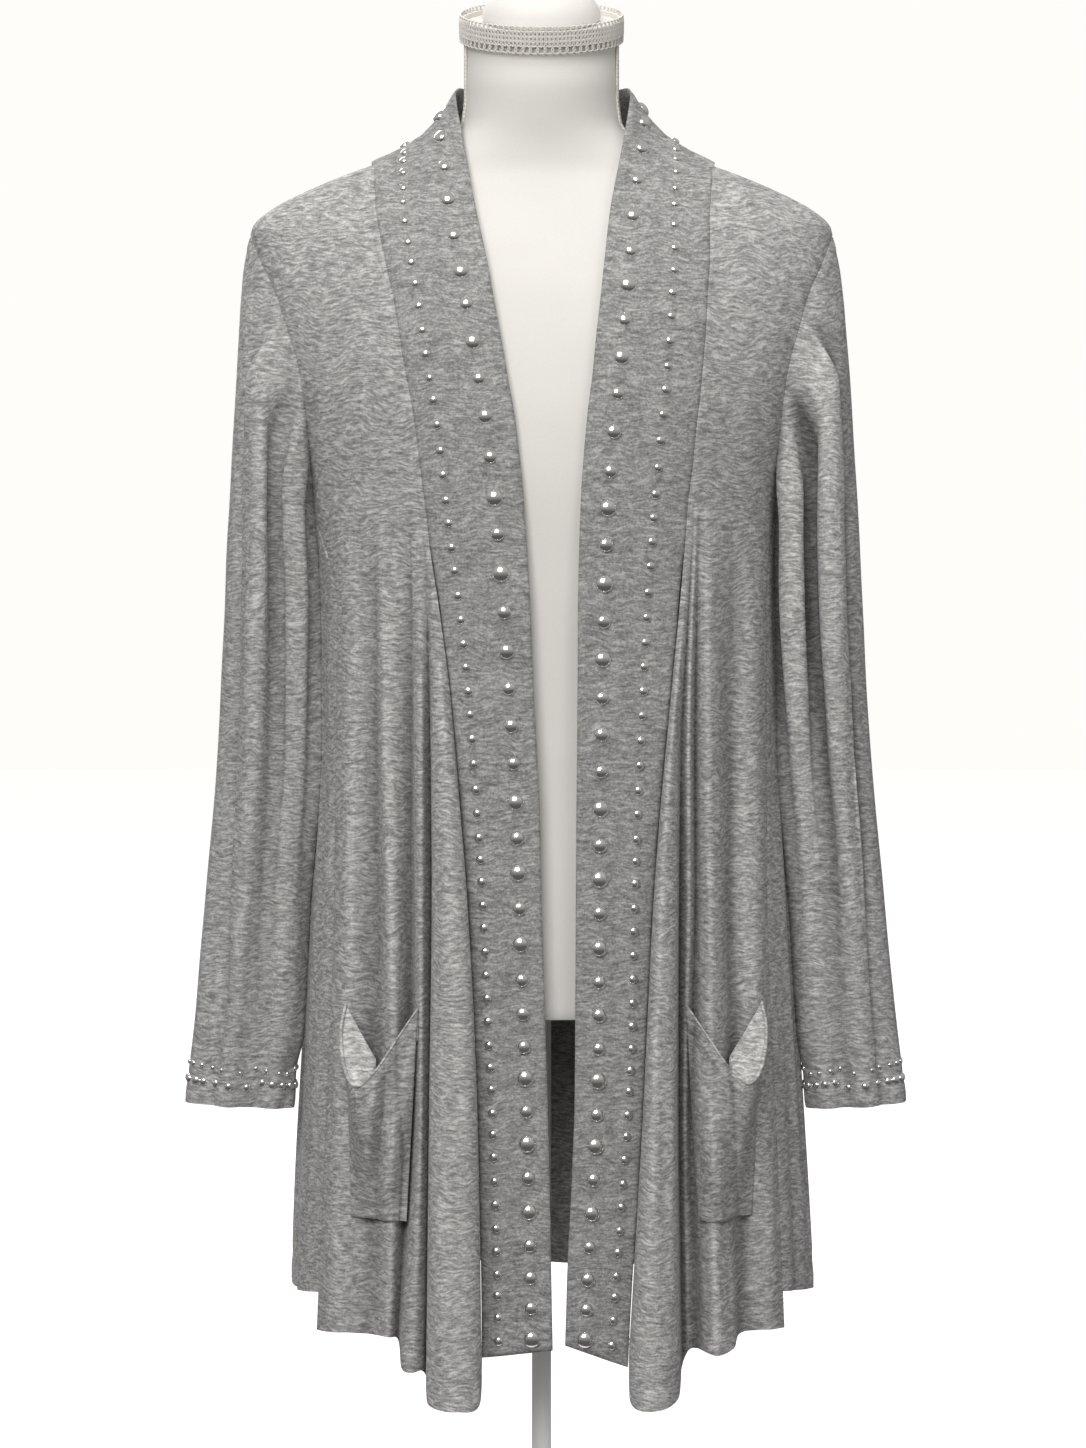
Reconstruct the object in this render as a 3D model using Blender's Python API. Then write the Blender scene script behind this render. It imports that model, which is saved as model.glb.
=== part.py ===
"""Waterfall cardigan, open at the front, on a limbless dress form with a short counter stand.

Metres, +Z up, the front faces -Y. The origin is the middle of the foot's underside.
Names use the wearer's side: "right" is at -X, "left" is at +X.
Every sheet of cloth is a wall of its own thickness around a middle surface. The middle
surfaces come from one table of body sections, a table of hanging folds for each front,
and tables for the band, the sleeves and the pockets, all in millimetres.
"""

import math

import bpy
import numpy as np

MM = 0.001

# ---------------------------------------------------------------- driving sizes
CLOTH = 1.3 * MM            # jersey of the fronts, back and sleeves
BAND_CLOTH = 2.6 * MM       # the band is double
POCKET_CLOTH = 1.4 * MM
GAP = 0.3 * MM              # between neighbouring pieces

SHOULDER_Z = 0.9765         # shoulder point
SHOULDER_X = 0.2088
NECK_SEAM_Z = 1.0262        # where the shoulder seam meets the band
NECK_WIDER_LEFT = 2.4       # millimetres the left band seam runs wider at the neck
UNDERARM_Z = 0.786
BACK_HEM_Z = 0.2090
SIDE_HEM_Z = 0.2210         # the back hem rises a little towards the side seams
CUFF_Z = 0.3470

NECK_RADIUS = 0.0556
NECK_TOP_Z = 1.1270
NECK_TILT = 15.0            # degrees, front edge lower
NECK_LEAN = -0.006          # the neck's top stands this far forward
TRIM_HEIGHT = 0.0200
TRIM_WALL = 0.0022
CAP_RADIUS = 0.0425
CAP_HEIGHT = 0.0260
FORM_BOTTOM_Z = 0.4205

POLE_RADIUS = 0.0070
FOOT_RADIUS = 0.1650
FOOT_HEIGHT = 0.0160
FOOT_EDGE = 0.0060

# ---------------------------------------------------------------- tables, millimetres
# Outside of the cardigan's body without its folds: a superellipse at each height.
BODY = (
    # name          z    half  shift front  back power
    ("neck_seam", 1026.2, 119.7, 0.0, 47.0, 60.0, 2.20),
    ("slope_high", 1015.5, 147.9, 0.0, 56.0, 68.0, 2.25),
    ("slope_mid", 1004.8, 172.5, 0.0, 63.5, 75.0, 2.30),
    ("slope_low", 994.0, 192.8, 0.0, 70.0, 81.0, 2.35),
    ("slope_end", 983.3, 205.8, 0.0, 76.0, 86.0, 2.40),
    ("shoulder", 976.0, 209.2, 0.0, 79.5, 89.0, 2.40),
    ("blade", 950.0, 209.0, 0.3, 91.0, 96.0, 2.40),
    ("chest_high", 925.0, 204.5, 0.7, 100.0, 100.0, 2.40),
    ("chest", 876.0, 192.0, 1.5, 111.5, 101.0, 2.40),
    ("chest_low", 831.0, 178.0, 1.8, 117.0, 99.0, 2.35),
    ("underarm", 786.0, 168.2, 1.8, 119.0, 96.0, 2.30),
    ("under_bust", 750.0, 165.6, 2.8, 119.5, 94.0, 2.30),
    ("waist_high", 700.0, 164.6, 4.2, 119.5, 93.0, 2.30),
    ("waist", 610.0, 165.0, 5.5, 119.5, 98.0, 2.30),
    ("hip", 500.0, 172.3, 5.5, 120.0, 110.0, 2.30),
    ("thigh", 360.0, 180.2, 5.5, 121.0, 119.0, 2.30),
    ("low", 280.0, 184.6, 5.5, 121.5, 122.0, 2.30),
    ("hem", 140.0, 190.5, 5.5, 122.0, 124.0, 2.30),
)

# Armhole edge of the body, outward from the shifted axis.
ARMHOLE = (
    # z      out
    (976.5, 208.8),
    (954.0, 199.4),
    (934.0, 190.2),
    (906.0, 181.4),
    (877.0, 173.4),
    (831.0, 168.6),
    (800.0, 168.3),
    (786.0, 168.15),
)

# Side seam below the underarm: how far out it runs on each side, from the axis.
SIDE_SEAM = (
    # z     right   left
    (786.0, 166.35, 169.95),
    (775.0, 163.0, 167.6),
    (760.0, 156.5, 164.5),
    (740.0, 149.5, 161.5),
    (715.0, 144.6, 159.9),
    (610.0, 146.1, 160.3),
    (510.0, 146.8, 160.3),
    (370.0, 152.4, 165.9),
    (190.0, 160.2, 173.4),
)

# Seam between front and band, and the band's free edge, out from the axis.
BAND_RIGHT = (
    # z     seam   free
    (951.0, 109.3, 37.4),
    (930.0, 104.6, 33.8),
    (900.0, 99.4, 28.2),
    (871.0, 94.4, 23.3),
    (843.0, 89.4, 18.4),
    (800.0, 83.9, 13.5),
    (751.0, 77.2, 10.0),
    (716.5, 71.5, 8.0),
    (647.0, 62.9, 5.2),
    (563.0, 56.0, 1.0),
    (507.5, 51.8, -0.1),
    (424.0, 47.6, -2.5),
    (355.0, 44.8, -4.6),
    (254.0, 42.7, -6.7),
    (187.0, 42.0, -8.0),
)
BAND_LEFT = (
    # z     seam   free
    (951.0, 118.6, 43.8),
    (930.0, 117.0, 41.6),
    (900.0, 115.3, 38.1),
    (871.0, 112.4, 35.3),
    (843.0, 109.6, 31.7),
    (800.0, 105.0, 28.2),
    (751.0, 99.6, 26.2),
    (716.5, 96.3, 25.5),
    (647.0, 90.2, 25.2),
    (563.0, 82.5, 24.4),
    (507.5, 78.4, 24.1),
    (424.0, 74.2, 23.7),
    (355.0, 71.0, 23.0),
    (254.0, 65.1, 18.5),
    (185.0, 61.0, 16.4),
)
# The band round the neck, from centre back to the collar bone. hug is how far
# its width follows the body, dish how far its middle dips in.
NECK = (
    # name          seam_out seam_y seam_z free_out free_y free_z dish hug
    ("centre_back", 0.45, 84.0, 1010.0, 0.45, 66.0, 1083.0, 3.0, 0.0),
    ("back_quarter", 44.0, 78.0, 1012.5, 29.0, 60.5, 1083.5, 4.0, 0.0),
    ("back_side", 85.0, 55.0, 1018.5, 50.5, 40.0, 1083.0, 6.0, 0.0),
    ("shoulder", 119.6, 2.0, 1026.2, 60.8, 6.0, 1081.0, 8.5, 0.0),
    ("neck_side", 119.6, -20.0, 1021.5, 60.4, -16.0, 1067.5, 8.0, 0.0),
    ("neck_front", 119.3, -32.0, 1014.0, 56.8, -38.0, 1046.0, 5.5, 0.0),
    ("collar_bone", 118.2, -44.0, 1003.0, 51.8, -54.5, 1021.0, 3.5, 0.2),
    ("chest_top", 116.6, -58.0, 986.0, 46.0, -68.0, 990.0, 1.0, 0.7),
)
BAND_HEM = (
    # side   seam_z  free_z
    ("right", 184.0, 189.5),
    ("left", 177.0, 193.0),
)

# Hanging folds of each front, from the side seam to the band. share is the line's
# place across the chest; x is how far out it hangs and d how far it stands proud
# of the body at 715, 610, 510 and 370 high and at its hem.
FOLD_Z = (715.0, 610.0, 510.0, 370.0)
FOLDS_RIGHT = (
    # name        share   x715   x610   x510   x370   xhem  d715 d610 d510 d370 dhem hem_z
    ("side", 0.000, 144.6, 146.1, 146.8, 152.4, 160.2, 0, 0, 0, 0, 0, 194.0),
    ("ridge_b", 0.310, 135.4, 136.1, 136.8, 141.0, 146.6, 3, 5, 6, 6, 5, 195.5),
    ("valley_c", 0.540, 118.1, 117.4, 116.7, 118.1, 123.0, -3, -6, -8, -7, -4, 196.0),
    ("ridge_d", 0.620, 110.7, 109.3, 106.5, 103.8, 108.6, 3, 6, 8, 7, 5, 196.0),
    ("valley_e", 0.860, 92.9, 92.2, 92.2, 93.3, 101.6, -6, -13, -14, -15, -12, 192.0),
    ("fold_f_out", 0.895, 88.9, 88.2, 87.7, 87.2, 98.4, 0, 0, 0, 3, 8, 176.0),
    ("fold_f", 0.917, 85.2, 84.2, 83.9, 84.2, 91.0, 2, 4, 4, 7, 13, 174.0),
    ("fold_f_in", 0.936, 82.2, 80.6, 79.9, 80.9, 84.2, 0, -3, -4, -2, 5, 174.5),
    ("tuck_g", 0.952, 79.6, 77.6, 76.9, 78.3, 80.6, -3, -10, -12, -12, -11, 165.0),
    ("fold_E_out", 0.966, 77.7, 75.6, 74.6, 76.2, 78.6, 0, 9, 17, 24, 28, 155.0),
    ("fold_E", 0.978, 75.8, 67.9, 63.1, 61.0, 59.6, 1.5, 15, 25, 34, 41, 153.5),
    ("fold_E_in", 0.989, 74.1, 62.0, 53.4, 46.8, 43.4, 1, 9, 17, 24, 28, 156.0),
    ("seam", 1.000, 71.5, 60.1, 51.7, 45.5, 42.0, 0, 0, 0, 0, 0, 184.0),
)
FOLDS_LEFT = (
    # name        share   x715   x610   x510   x370   xhem  d715 d610 d510 d370 dhem hem_z
    ("side", 0.000, 159.9, 160.3, 160.3, 165.9, 173.4, 0, 0, 0, 0, 0, 195.0),
    ("ridge_b", 0.260, 150.6, 150.6, 151.3, 155.5, 162.6, 3, 4, 5, 5, 4, 196.5),
    ("valley_c", 0.520, 135.1, 133.7, 133.0, 137.2, 141.4, -3, -6, -7, -6, -2, 196.0),
    ("ridge_d_out", 0.700, 122.3, 123.7, 124.8, 126.5, 135.9, 3, 5, 6, 8, 11, 188.5),
    ("ridge_d", 0.770, 117.0, 117.3, 118.7, 118.4, 125.3, 5, 8, 9, 12, 17, 185.5),
    ("ridge_d_in", 0.835, 112.2, 112.2, 113.2, 111.3, 116.3, 0, 1, -1, 0, 7, 186.5),
    ("valley_e", 0.880, 109.0, 108.3, 108.8, 106.4, 110.2, -6, -12, -14, -16, -12, 186.0),
    ("fold_f", 0.915, 106.0, 103.4, 103.7, 101.2, 104.0, 1, 1, -1, -8, -11, 185.0),
    ("tuck_g", 0.940, 103.6, 98.1, 97.0, 96.5, 99.0, -3, -9, -13, -16, -12, 172.0),
    ("fold_E_out", 0.960, 101.9, 94.3, 93.6, 92.3, 95.0, 0, 8, 16, 23, 28, 158.0),
    ("fold_E", 0.975, 100.3, 90.4, 84.6, 80.5, 77.0, 1, 14, 24, 33, 41, 153.5),
    ("fold_E_in", 0.988, 98.9, 87.8, 79.9, 72.4, 62.6, 0.6, 8, 16, 23, 28, 157.0),
    ("seam", 1.000, 96.3, 86.2, 78.2, 71.0, 61.0, 0, 0, 0, 0, 0, 178.0),
)

# Soft folds of the back, placed from the right side seam (0) to the left one (1).
BACK_FOLDS = (
    # name     place width waist  hem
    ("side_r", 0.10, 0.045, -1.0, -3.0),
    ("fold_1", 0.21, 0.050, 3.0, 8.0),
    ("fold_2", 0.33, 0.040, -3.0, -7.0),
    ("fold_3", 0.44, 0.050, 3.5, 9.0),
    ("fold_4", 0.55, 0.045, -4.0, -8.0),
    ("fold_5", 0.66, 0.050, 3.0, 8.0),
    ("fold_6", 0.78, 0.045, -2.5, -6.0),
    ("side_l", 0.90, 0.045, 1.0, 3.0),
)
BACK_NECK = (
    # out      y      z
    (0.0, 84.0, 1010.0),
    (44.0, 78.0, 1012.5),
    (85.0, 55.0, 1018.5),
    (119.6, 2.0, 1026.2),
)

# Sleeves below the armhole: outline in the front view and in depth, out from the axis.
SLEEVE_RIGHT = (
    # z     outer   inner  front  back
    (930.0, 215.2, 176.0, -44.0, 42.0),
    (870.0, 218.3, 168.5, -60.0, 52.0),
    (814.0, 221.8, 164.5, -62.0, 50.0),
    (760.0, 225.0, 162.5, -59.0, 46.0),
    (715.0, 227.2, 160.5, -56.0, 42.0),
    (610.0, 232.8, 159.8, -48.0, 33.0),
    (500.0, 242.3, 171.0, -42.0, 22.0),
    (420.0, 249.3, 176.0, -39.0, 10.0),
    (345.0, 257.8, 180.2, -36.0, 2.0),
)
SLEEVE_LEFT = (
    # z     outer   inner  front  back
    (930.0, 216.4, 180.0, -44.0, 42.0),
    (870.0, 220.8, 172.5, -60.0, 52.0),
    (814.0, 224.8, 169.5, -62.0, 50.0),
    (760.0, 228.3, 169.0, -59.0, 46.0),
    (715.0, 230.4, 169.3, -56.0, 42.0),
    (610.0, 237.4, 170.6, -48.0, 33.0),
    (500.0, 247.2, 181.0, -42.0, 22.0),
    (420.0, 255.0, 187.0, -39.0, 10.0),
    (345.0, 263.4, 192.5, -36.0, 2.0),
)
# Vertical folds of a sleeve across its width, 0 outside to 1 inside.
SLEEVE_FOLDS = (
    # name        place  front  back
    ("outer", 0.00, 0.0, 0.0),
    ("crease", 0.27, -9.0, 3.0),
    ("ridge_1", 0.40, 3.0, -5.0),
    ("valley", 0.66, -11.0, 4.0),
    ("ridge_2", 0.86, 3.0, 1.0),
    ("inner", 1.00, 0.0, 0.0),
)

# Pockets: side edges on the front, and the sagging rim between them.
POCKET_SIDES = (
    # side    z_top  z_bottom  in_top in_bottom out_top out_bottom
    ("right", 430.0, 279.0, 86.5, 95.0, 138.4, 134.6),
    ("left", 431.0, 280.0, 101.5, 110.5, 156.0, 149.0),
)
POCKET_RIM = (
    # place from the outer edge, share of the width, drop, out
    # name       place  across  drop  out
    ("corner_out", 0.00, 0.00, 0.0, 2.6),
    ("lip_high", 0.12, -0.07, 20.0, 12.0),
    ("lip_low", 0.26, -0.01, 44.0, 22.0),
    ("lowest", 0.40, 0.17, 54.0, 26.0),
    ("vee", 0.60, 0.45, 42.0, 20.0),
    ("rise", 0.80, 0.72, 22.0, 11.0),
    ("corner_in", 1.00, 1.00, 0.0, 2.6),
)

# The dress form: a superellipse at each height, with its middle moved forward by lean.
FORM = (
    # name          z    half  lean front  back power
    ("neck_high", 1083.0, 55.2, -4.2, 52.5, 56.0, 2.0),
    ("neck_mid", 1075.0, 55.2, -2.0, 54.5, 55.2, 2.0),
    ("neck_low", 1056.0, 57.5, 0.0, 53.0, 58.0, 2.0),
    ("neck_root", 1041.0, 71.0, 1.0, 51.0, 61.0, 2.05),
    ("slope_high", 1024.0, 101.0, 0.0, 49.0, 60.0, 2.10),
    ("slope_mid", 1005.0, 144.0, 0.0, 56.0, 64.0, 2.15),
    ("slope_low", 986.0, 179.0, 0.0, 65.5, 72.0, 2.25),
    ("shoulder", 962.0, 194.0, 0.5, 78.0, 85.0, 2.35),
    ("arm_high", 930.0, 190.0, 0.0, 91.5, 91.0, 2.35),
    ("arm_mid", 885.0, 177.0, 0.0, 103.5, 93.0, 2.30),
    ("arm_low", 840.0, 163.0, 0.0, 110.5, 91.0, 2.25),
    ("bust", 800.0, 153.0, 0.0, 113.0, 87.0, 2.20),
    ("under_bust", 730.0, 139.0, 0.0, 110.0, 81.0, 2.15),
    ("waist", 650.0, 126.0, 0.0, 107.5, 79.0, 2.10),
    ("high_hip", 560.0, 140.0, 0.0, 107.0, 91.0, 2.10),
    ("hip", 480.0, 154.0, 0.0, 107.0, 102.0, 2.10),
    ("bottom", 420.5, 155.0, 0.0, 106.5, 103.0, 2.10),
)

# grid densities
PANEL_ROWS = 21
FRONT_FINE = 6              # fold lines from the side seam on with a column between them
BACK_COLS = 23
BAND_ACROSS = 3
SLEEVE_ROWS, SLEEVE_ROUND = 15, 22
POCKET_ROWS, POCKET_COLS = 8, 11
FORM_ROUND = 28

SIDES = {"right": -1.0, "left": 1.0}


# ---------------------------------------------------------------- small curves
def follow(at, knots, values):
    """Smooth curve through the knots, which never swings past them."""
    at = np.asarray(at, float)
    k = np.asarray(knots, float)
    v = np.asarray(values, float)
    if k[0] > k[-1]:
        k, v = k[::-1], v[::-1]
    h = np.diff(k)
    slope = np.diff(v) / h
    m = np.zeros_like(v)
    both = slope[:-1] * slope[1:] > 0
    total = np.where(both, slope[:-1] + slope[1:], 1.0)
    m[1:-1] = np.where(both, 2 * slope[:-1] * slope[1:] / total, 0.0)
    m[0], m[-1] = slope[0], slope[-1]
    i = np.clip(np.searchsorted(k, at) - 1, 0, len(k) - 2)
    t = np.clip((at - k[i]) / h[i], 0.0, 1.0)
    t2, t3 = t * t, t * t * t
    return (
        (2 * t3 - 3 * t2 + 1) * v[i]
        + (t3 - 2 * t2 + t) * h[i] * m[i]
        + (-2 * t3 + 3 * t2) * v[i + 1]
        + (t3 - t2) * h[i] * m[i + 1]
    )


def through(values, at):
    """Catmull-Rom curve through a list of values, read at line numbers."""
    v = np.asarray(values, float)
    ext = np.concatenate([[2 * v[0] - v[1]], v, [2 * v[-1] - v[-2]]])
    at = np.clip(np.asarray(at, float), 0, len(v) - 1)
    i = np.minimum(at.astype(int), len(v) - 2)
    t = at - i
    a, b, c, d = ext[i], ext[i + 1], ext[i + 2], ext[i + 3]
    return 0.5 * (
        2 * b + (c - a) * t + (2 * a - 5 * b + 4 * c - d) * t**2 + (3 * b - a - 3 * c + d) * t**3
    )


def column(table, index):
    return [row[index] for row in table]


def ramp(x):
    x = np.clip(x, 0.0, 1.0)
    return x * x * (3 - 2 * x)


# ---------------------------------------------------------------- the body
def body_at(z):
    """half width, shift, front, back and power of the body section at height z (metres)."""
    z_mm = np.asarray(z, float) / MM
    zs = column(BODY, 1)
    half, shift, front, back = (follow(z_mm, zs, column(BODY, i)) * MM for i in (2, 3, 4, 5))
    return half, shift, front, back, follow(z_mm, zs, column(BODY, 6))


def body_y(x, z, face):
    """y of the unfolded body at (x, z); face is "front" or "back"."""
    half, shift, front, back, power = body_at(z)
    r = np.clip(np.abs(x - shift) / half, 0.0, 1.0)
    arc = np.maximum(1 - r**power, 0.0) ** (1 / power)
    return -front * arc if face == "front" else back * arc


def clear_of_body(points, clearance):
    """Points moved out, level, until they are this far outside the body."""
    out = points.copy()
    half, shift, front, back, power = body_at(points[..., 2])
    dx = points[..., 0] - shift
    depth = np.where(points[..., 1] < 0, front, back)
    f = ((np.abs(dx) / half) ** power + (np.abs(points[..., 1]) / depth) ** power) ** (1 / power)
    want = 1 + clearance / np.minimum(half, depth * 1.5)
    k = np.maximum(want / np.maximum(f, 1e-6), 1.0)
    out[..., 0] = shift + dx * k
    out[..., 1] = points[..., 1] * k
    return out


def shoulder_seam_z(x_abs):
    """Height of the shoulder seam over a distance from the axis."""
    rows = [r for r in BODY if r[1] >= 976.0]
    xs = [r[2] for r in rows]
    zs = [r[1] for r in rows]
    xs[-1], zs[-1] = SHOULDER_X / MM, SHOULDER_Z / MM
    return follow(np.asarray(x_abs) / MM, xs, zs) * MM


def band_rows(side):
    return BAND_RIGHT if side == "right" else BAND_LEFT


def band_hem(side):
    return next((r[1] * MM, r[2] * MM) for r in BAND_HEM if r[0] == side)


def seam_out(side, z):
    """Distance from the axis of the seam between front and band."""
    rows = band_rows(side)
    neck = [r for r in NECK if r[0] in ("shoulder", "neck_side", "neck_front", "collar_bone", "chest_top")]
    grow = 0.0 if side == "right" else 1.0
    zs = [r[3] for r in neck] + [r[0] for r in rows]
    xs = [r[1] + grow * NECK_WIDER_LEFT for r in neck] + [r[1] for r in rows]
    return follow(np.asarray(z) / MM, zs, xs) * MM


def seam_top(side):
    """Where the shoulder seam meets the band: distance from the axis."""
    return float(seam_out(side, NECK_SEAM_Z))


# ---------------------------------------------------------------- fronts
def fold_table(side):
    return FOLDS_RIGHT if side == "right" else FOLDS_LEFT


def side_edge_out(side, z):
    """Distance from the axis of a front's outer edge: armhole, then side seam."""
    z = np.asarray(z, float)
    _, shift, _, _, _ = body_at(z)
    arm = follow(z / MM, column(ARMHOLE, 0), column(ARMHOLE, 1)) * MM + SIDES[side] * shift
    seam = follow(z / MM, column(SIDE_SEAM, 0), column(SIDE_SEAM, 1 if side == "right" else 2)) * MM
    return np.where(z >= UNDERARM_Z, arm, seam)


def front_lines(side, z):
    """(out, proud) of every fold line of a front at heights z, one column for each line."""
    table = fold_table(side)
    z = np.asarray(z, float)
    outs, prouds = [], []
    for row in table:
        share = row[1]
        edge = side_edge_out(side, np.minimum(z, SHOULDER_Z))
        seam = seam_out(side, z)
        top_x = SHOULDER_X + (seam_top(side) - SHOULDER_X) * share
        top_z = float(shoulder_seam_z(top_x))
        chest = edge + (seam - edge) * share
        t = np.clip((z - 0.925) / (top_z - 0.925), 0, 1) ** 1.35
        if 0 < share < 1:
            chest = chest * (1 - t) + top_x * t
        hem_z = row[12]
        bust = float(side_edge_out(side, 0.80) + (seam_out(side, 0.80) - side_edge_out(side, 0.80)) * share)
        hang = follow(z / MM, [800.0, *FOLD_Z, hem_z], [bust / MM, *row[2:7]]) * MM
        w = ramp((0.80 - z) / 0.05)
        line = chest * (1 - w) + hang * w
        if share == 0:
            line = side_edge_out(side, z)
        if share == 1:
            line = seam
        outs.append(line)
        prouds.append(follow(z / MM, [800.0, 765.0, *FOLD_Z, hem_z], [0.0, 0.1 * row[7], *row[7:12]]) * MM)
    return np.stack(outs, -1), np.stack(prouds, -1)


def front_point(side, u, z, edge_gap=GAP / 2):
    """Middle surface of a front: u counts fold lines, z is the height. Arrays of one shape."""
    u = np.asarray(u, float)
    z = np.asarray(z, float)
    out, proud = front_lines(side, z)
    n = out.shape[-1]
    last = ramp((0.785 - z) / 0.06)
    out[..., 0] -= edge_gap
    out[..., -1] += 2 * edge_gap + last * 1.0 * MM
    out[..., -2] = np.maximum(out[..., -2], out[..., -1] + 0.3 * MM)
    flat_u = u.reshape(-1)
    x = np.array([float(through(o, s)) for o, s in zip(out.reshape(-1, n), flat_u)]).reshape(u.shape)
    d = np.array([float(through(p, s)) for p, s in zip(proud.reshape(-1, n), flat_u)]).reshape(u.shape)
    x = SIDES[side] * x
    y = np.minimum(body_y(x, z, "front") - d, -0.45 * MM)
    return np.stack([x, y, z], -1)


def front_heights(side, u, v):
    """Height of the front at line u and share v down from the shoulder seam to just above the hem."""
    table = fold_table(side)
    share = through(column(table, 1), u)
    top_x = SHOULDER_X + (seam_top(side) - SHOULDER_X) * np.clip(share, 0, 1)
    top = shoulder_seam_z(top_x)
    hem = through(column(table, 12), u) * MM
    low = hem + SIDE_HEM_Z - table[0][12] * MM
    return np.where(v > 1, hem, top + (low - top) * np.minimum(v, 1))


def row_shares(count):
    """Rows close together on the shoulder, wider below."""
    return np.linspace(0, 1, count) ** 1.62


def front_grid(side, rows):
    """Rows match the back's along the side seam; one more row reaches the longer hem."""
    lines = len(fold_table(side))
    u = np.concatenate([np.arange(0, FRONT_FINE, 0.5), np.arange(FRONT_FINE, lines)])
    v = np.append(row_shares(rows), 2.0)
    uu, vv = np.meshgrid(u, v)
    return front_point(side, uu, front_heights(side, uu, vv))


# ---------------------------------------------------------------- back
def back_fold(s, z):
    down = ramp((0.78 - z) / 0.25)
    low = ramp((0.62 - z) / 0.42)
    total = np.zeros_like(s)
    for _, place, width, waist, hem in BACK_FOLDS:
        bump = np.exp(-(((s - place) / width) ** 2))
        total += bump * (waist * down * (1 - low) + hem * low) * MM
    return total


def back_grid(rows, cols):
    """The back, from the right side seam round the back to the left one."""
    s = np.linspace(0, 1, cols)
    v = row_shares(rows)
    grid = np.zeros((rows, cols, 3))
    neck_s = 0.315            # the neckline covers this much either side of the middle
    for j, sj in enumerate(s):
        side = "right" if sj < 0.5 else "left"
        sign = SIDES[side]
        t = abs(sj - 0.5) * 2            # 0 centre back, 1 edge
        # top edge: neckline, then shoulder seam
        if t <= neck_s * 2:
            out = seam_top(side) * t / (neck_s * 2)
            place = out / seam_top(side) * BACK_NECK[-1][0]
            top = (sign * out, follow(place, column(BACK_NECK, 0), column(BACK_NECK, 1)) * MM,
                   follow(place, column(BACK_NECK, 0), column(BACK_NECK, 2)) * MM - GAP)
        else:
            q = (t - neck_s * 2) / (1 - neck_s * 2)
            out = seam_top(side) + (SHOULDER_X - seam_top(side)) * q
            top = (sign * out, 0.45 * MM, float(shoulder_seam_z(out)))
        hem_z = BACK_HEM_Z + (SIDE_HEM_Z - BACK_HEM_Z) * t**3
        z = top[2] + (hem_z - top[2]) * v
        half, shift, front, back, power = body_at(np.clip(z, 0.14, NECK_SEAM_Z))
        # level line round the body at each height, by angle from the edge
        zc = np.clip(z, 0.14, None)
        edge_out = np.where(
            z >= UNDERARM_Z,
            side_edge_out(side, np.minimum(z, SHOULDER_Z)),
            side_edge_out(side, z),
        ) + GAP * np.where(z < UNDERARM_Z, 0.75, -1.0)
        edge_x = sign * edge_out
        r = np.clip(np.abs(edge_x - shift) / half, 0, 1)
        angle = np.arccos(r ** (power / 2))
        front_edge = z < UNDERARM_Z
        angle = np.where(front_edge, -angle, angle)        # the seam lies in front below the underarm
        a = angle + (math.pi / 2 - angle) * (1 - t)
        x = shift + sign * half * np.sign(np.cos(a)) * np.abs(np.cos(a)) ** (2 / power)
        depth = np.where(a >= 0, back, front)
        y = np.sign(a) * depth * np.abs(np.sin(a)) ** (2 / power)
        # near the top each column runs on to its own point of the seam
        w = ramp((z - 0.900) / max(top[2] - 0.900, 1e-6))
        last = int(np.flatnonzero(z < 0.900)[0])
        keep = x[last] / edge_x[last]
        x_top = keep * edge_x + w * (top[0] - keep * edge_x[0])
        x_line = np.where(z >= 0.900, x_top, x)
        z_in = np.clip(z, None, NECK_SEAM_Z)
        y_line = np.where(z >= 0.900, body_y(x_line, z_in, "back"), y)
        reach = 0.06 if t <= neck_s * 2 else 0.004
        near = ramp((z - (top[2] - reach)) / reach)
        y_line = y_line + near * (top[1] - y_line[0])
        y_line = np.where(z >= UNDERARM_Z, np.maximum(y_line, 0.45 * MM), y_line)
        fold = back_fold(np.full_like(z, sj), z)
        nx, ny = x_line - shift, y_line
        length = np.hypot(nx, ny) + 1e-9
        grid[:, j, 0] = x_line + nx / length * fold
        grid[:, j, 1] = y_line + ny / length * fold
        grid[:, j, 2] = z
    return grid


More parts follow.
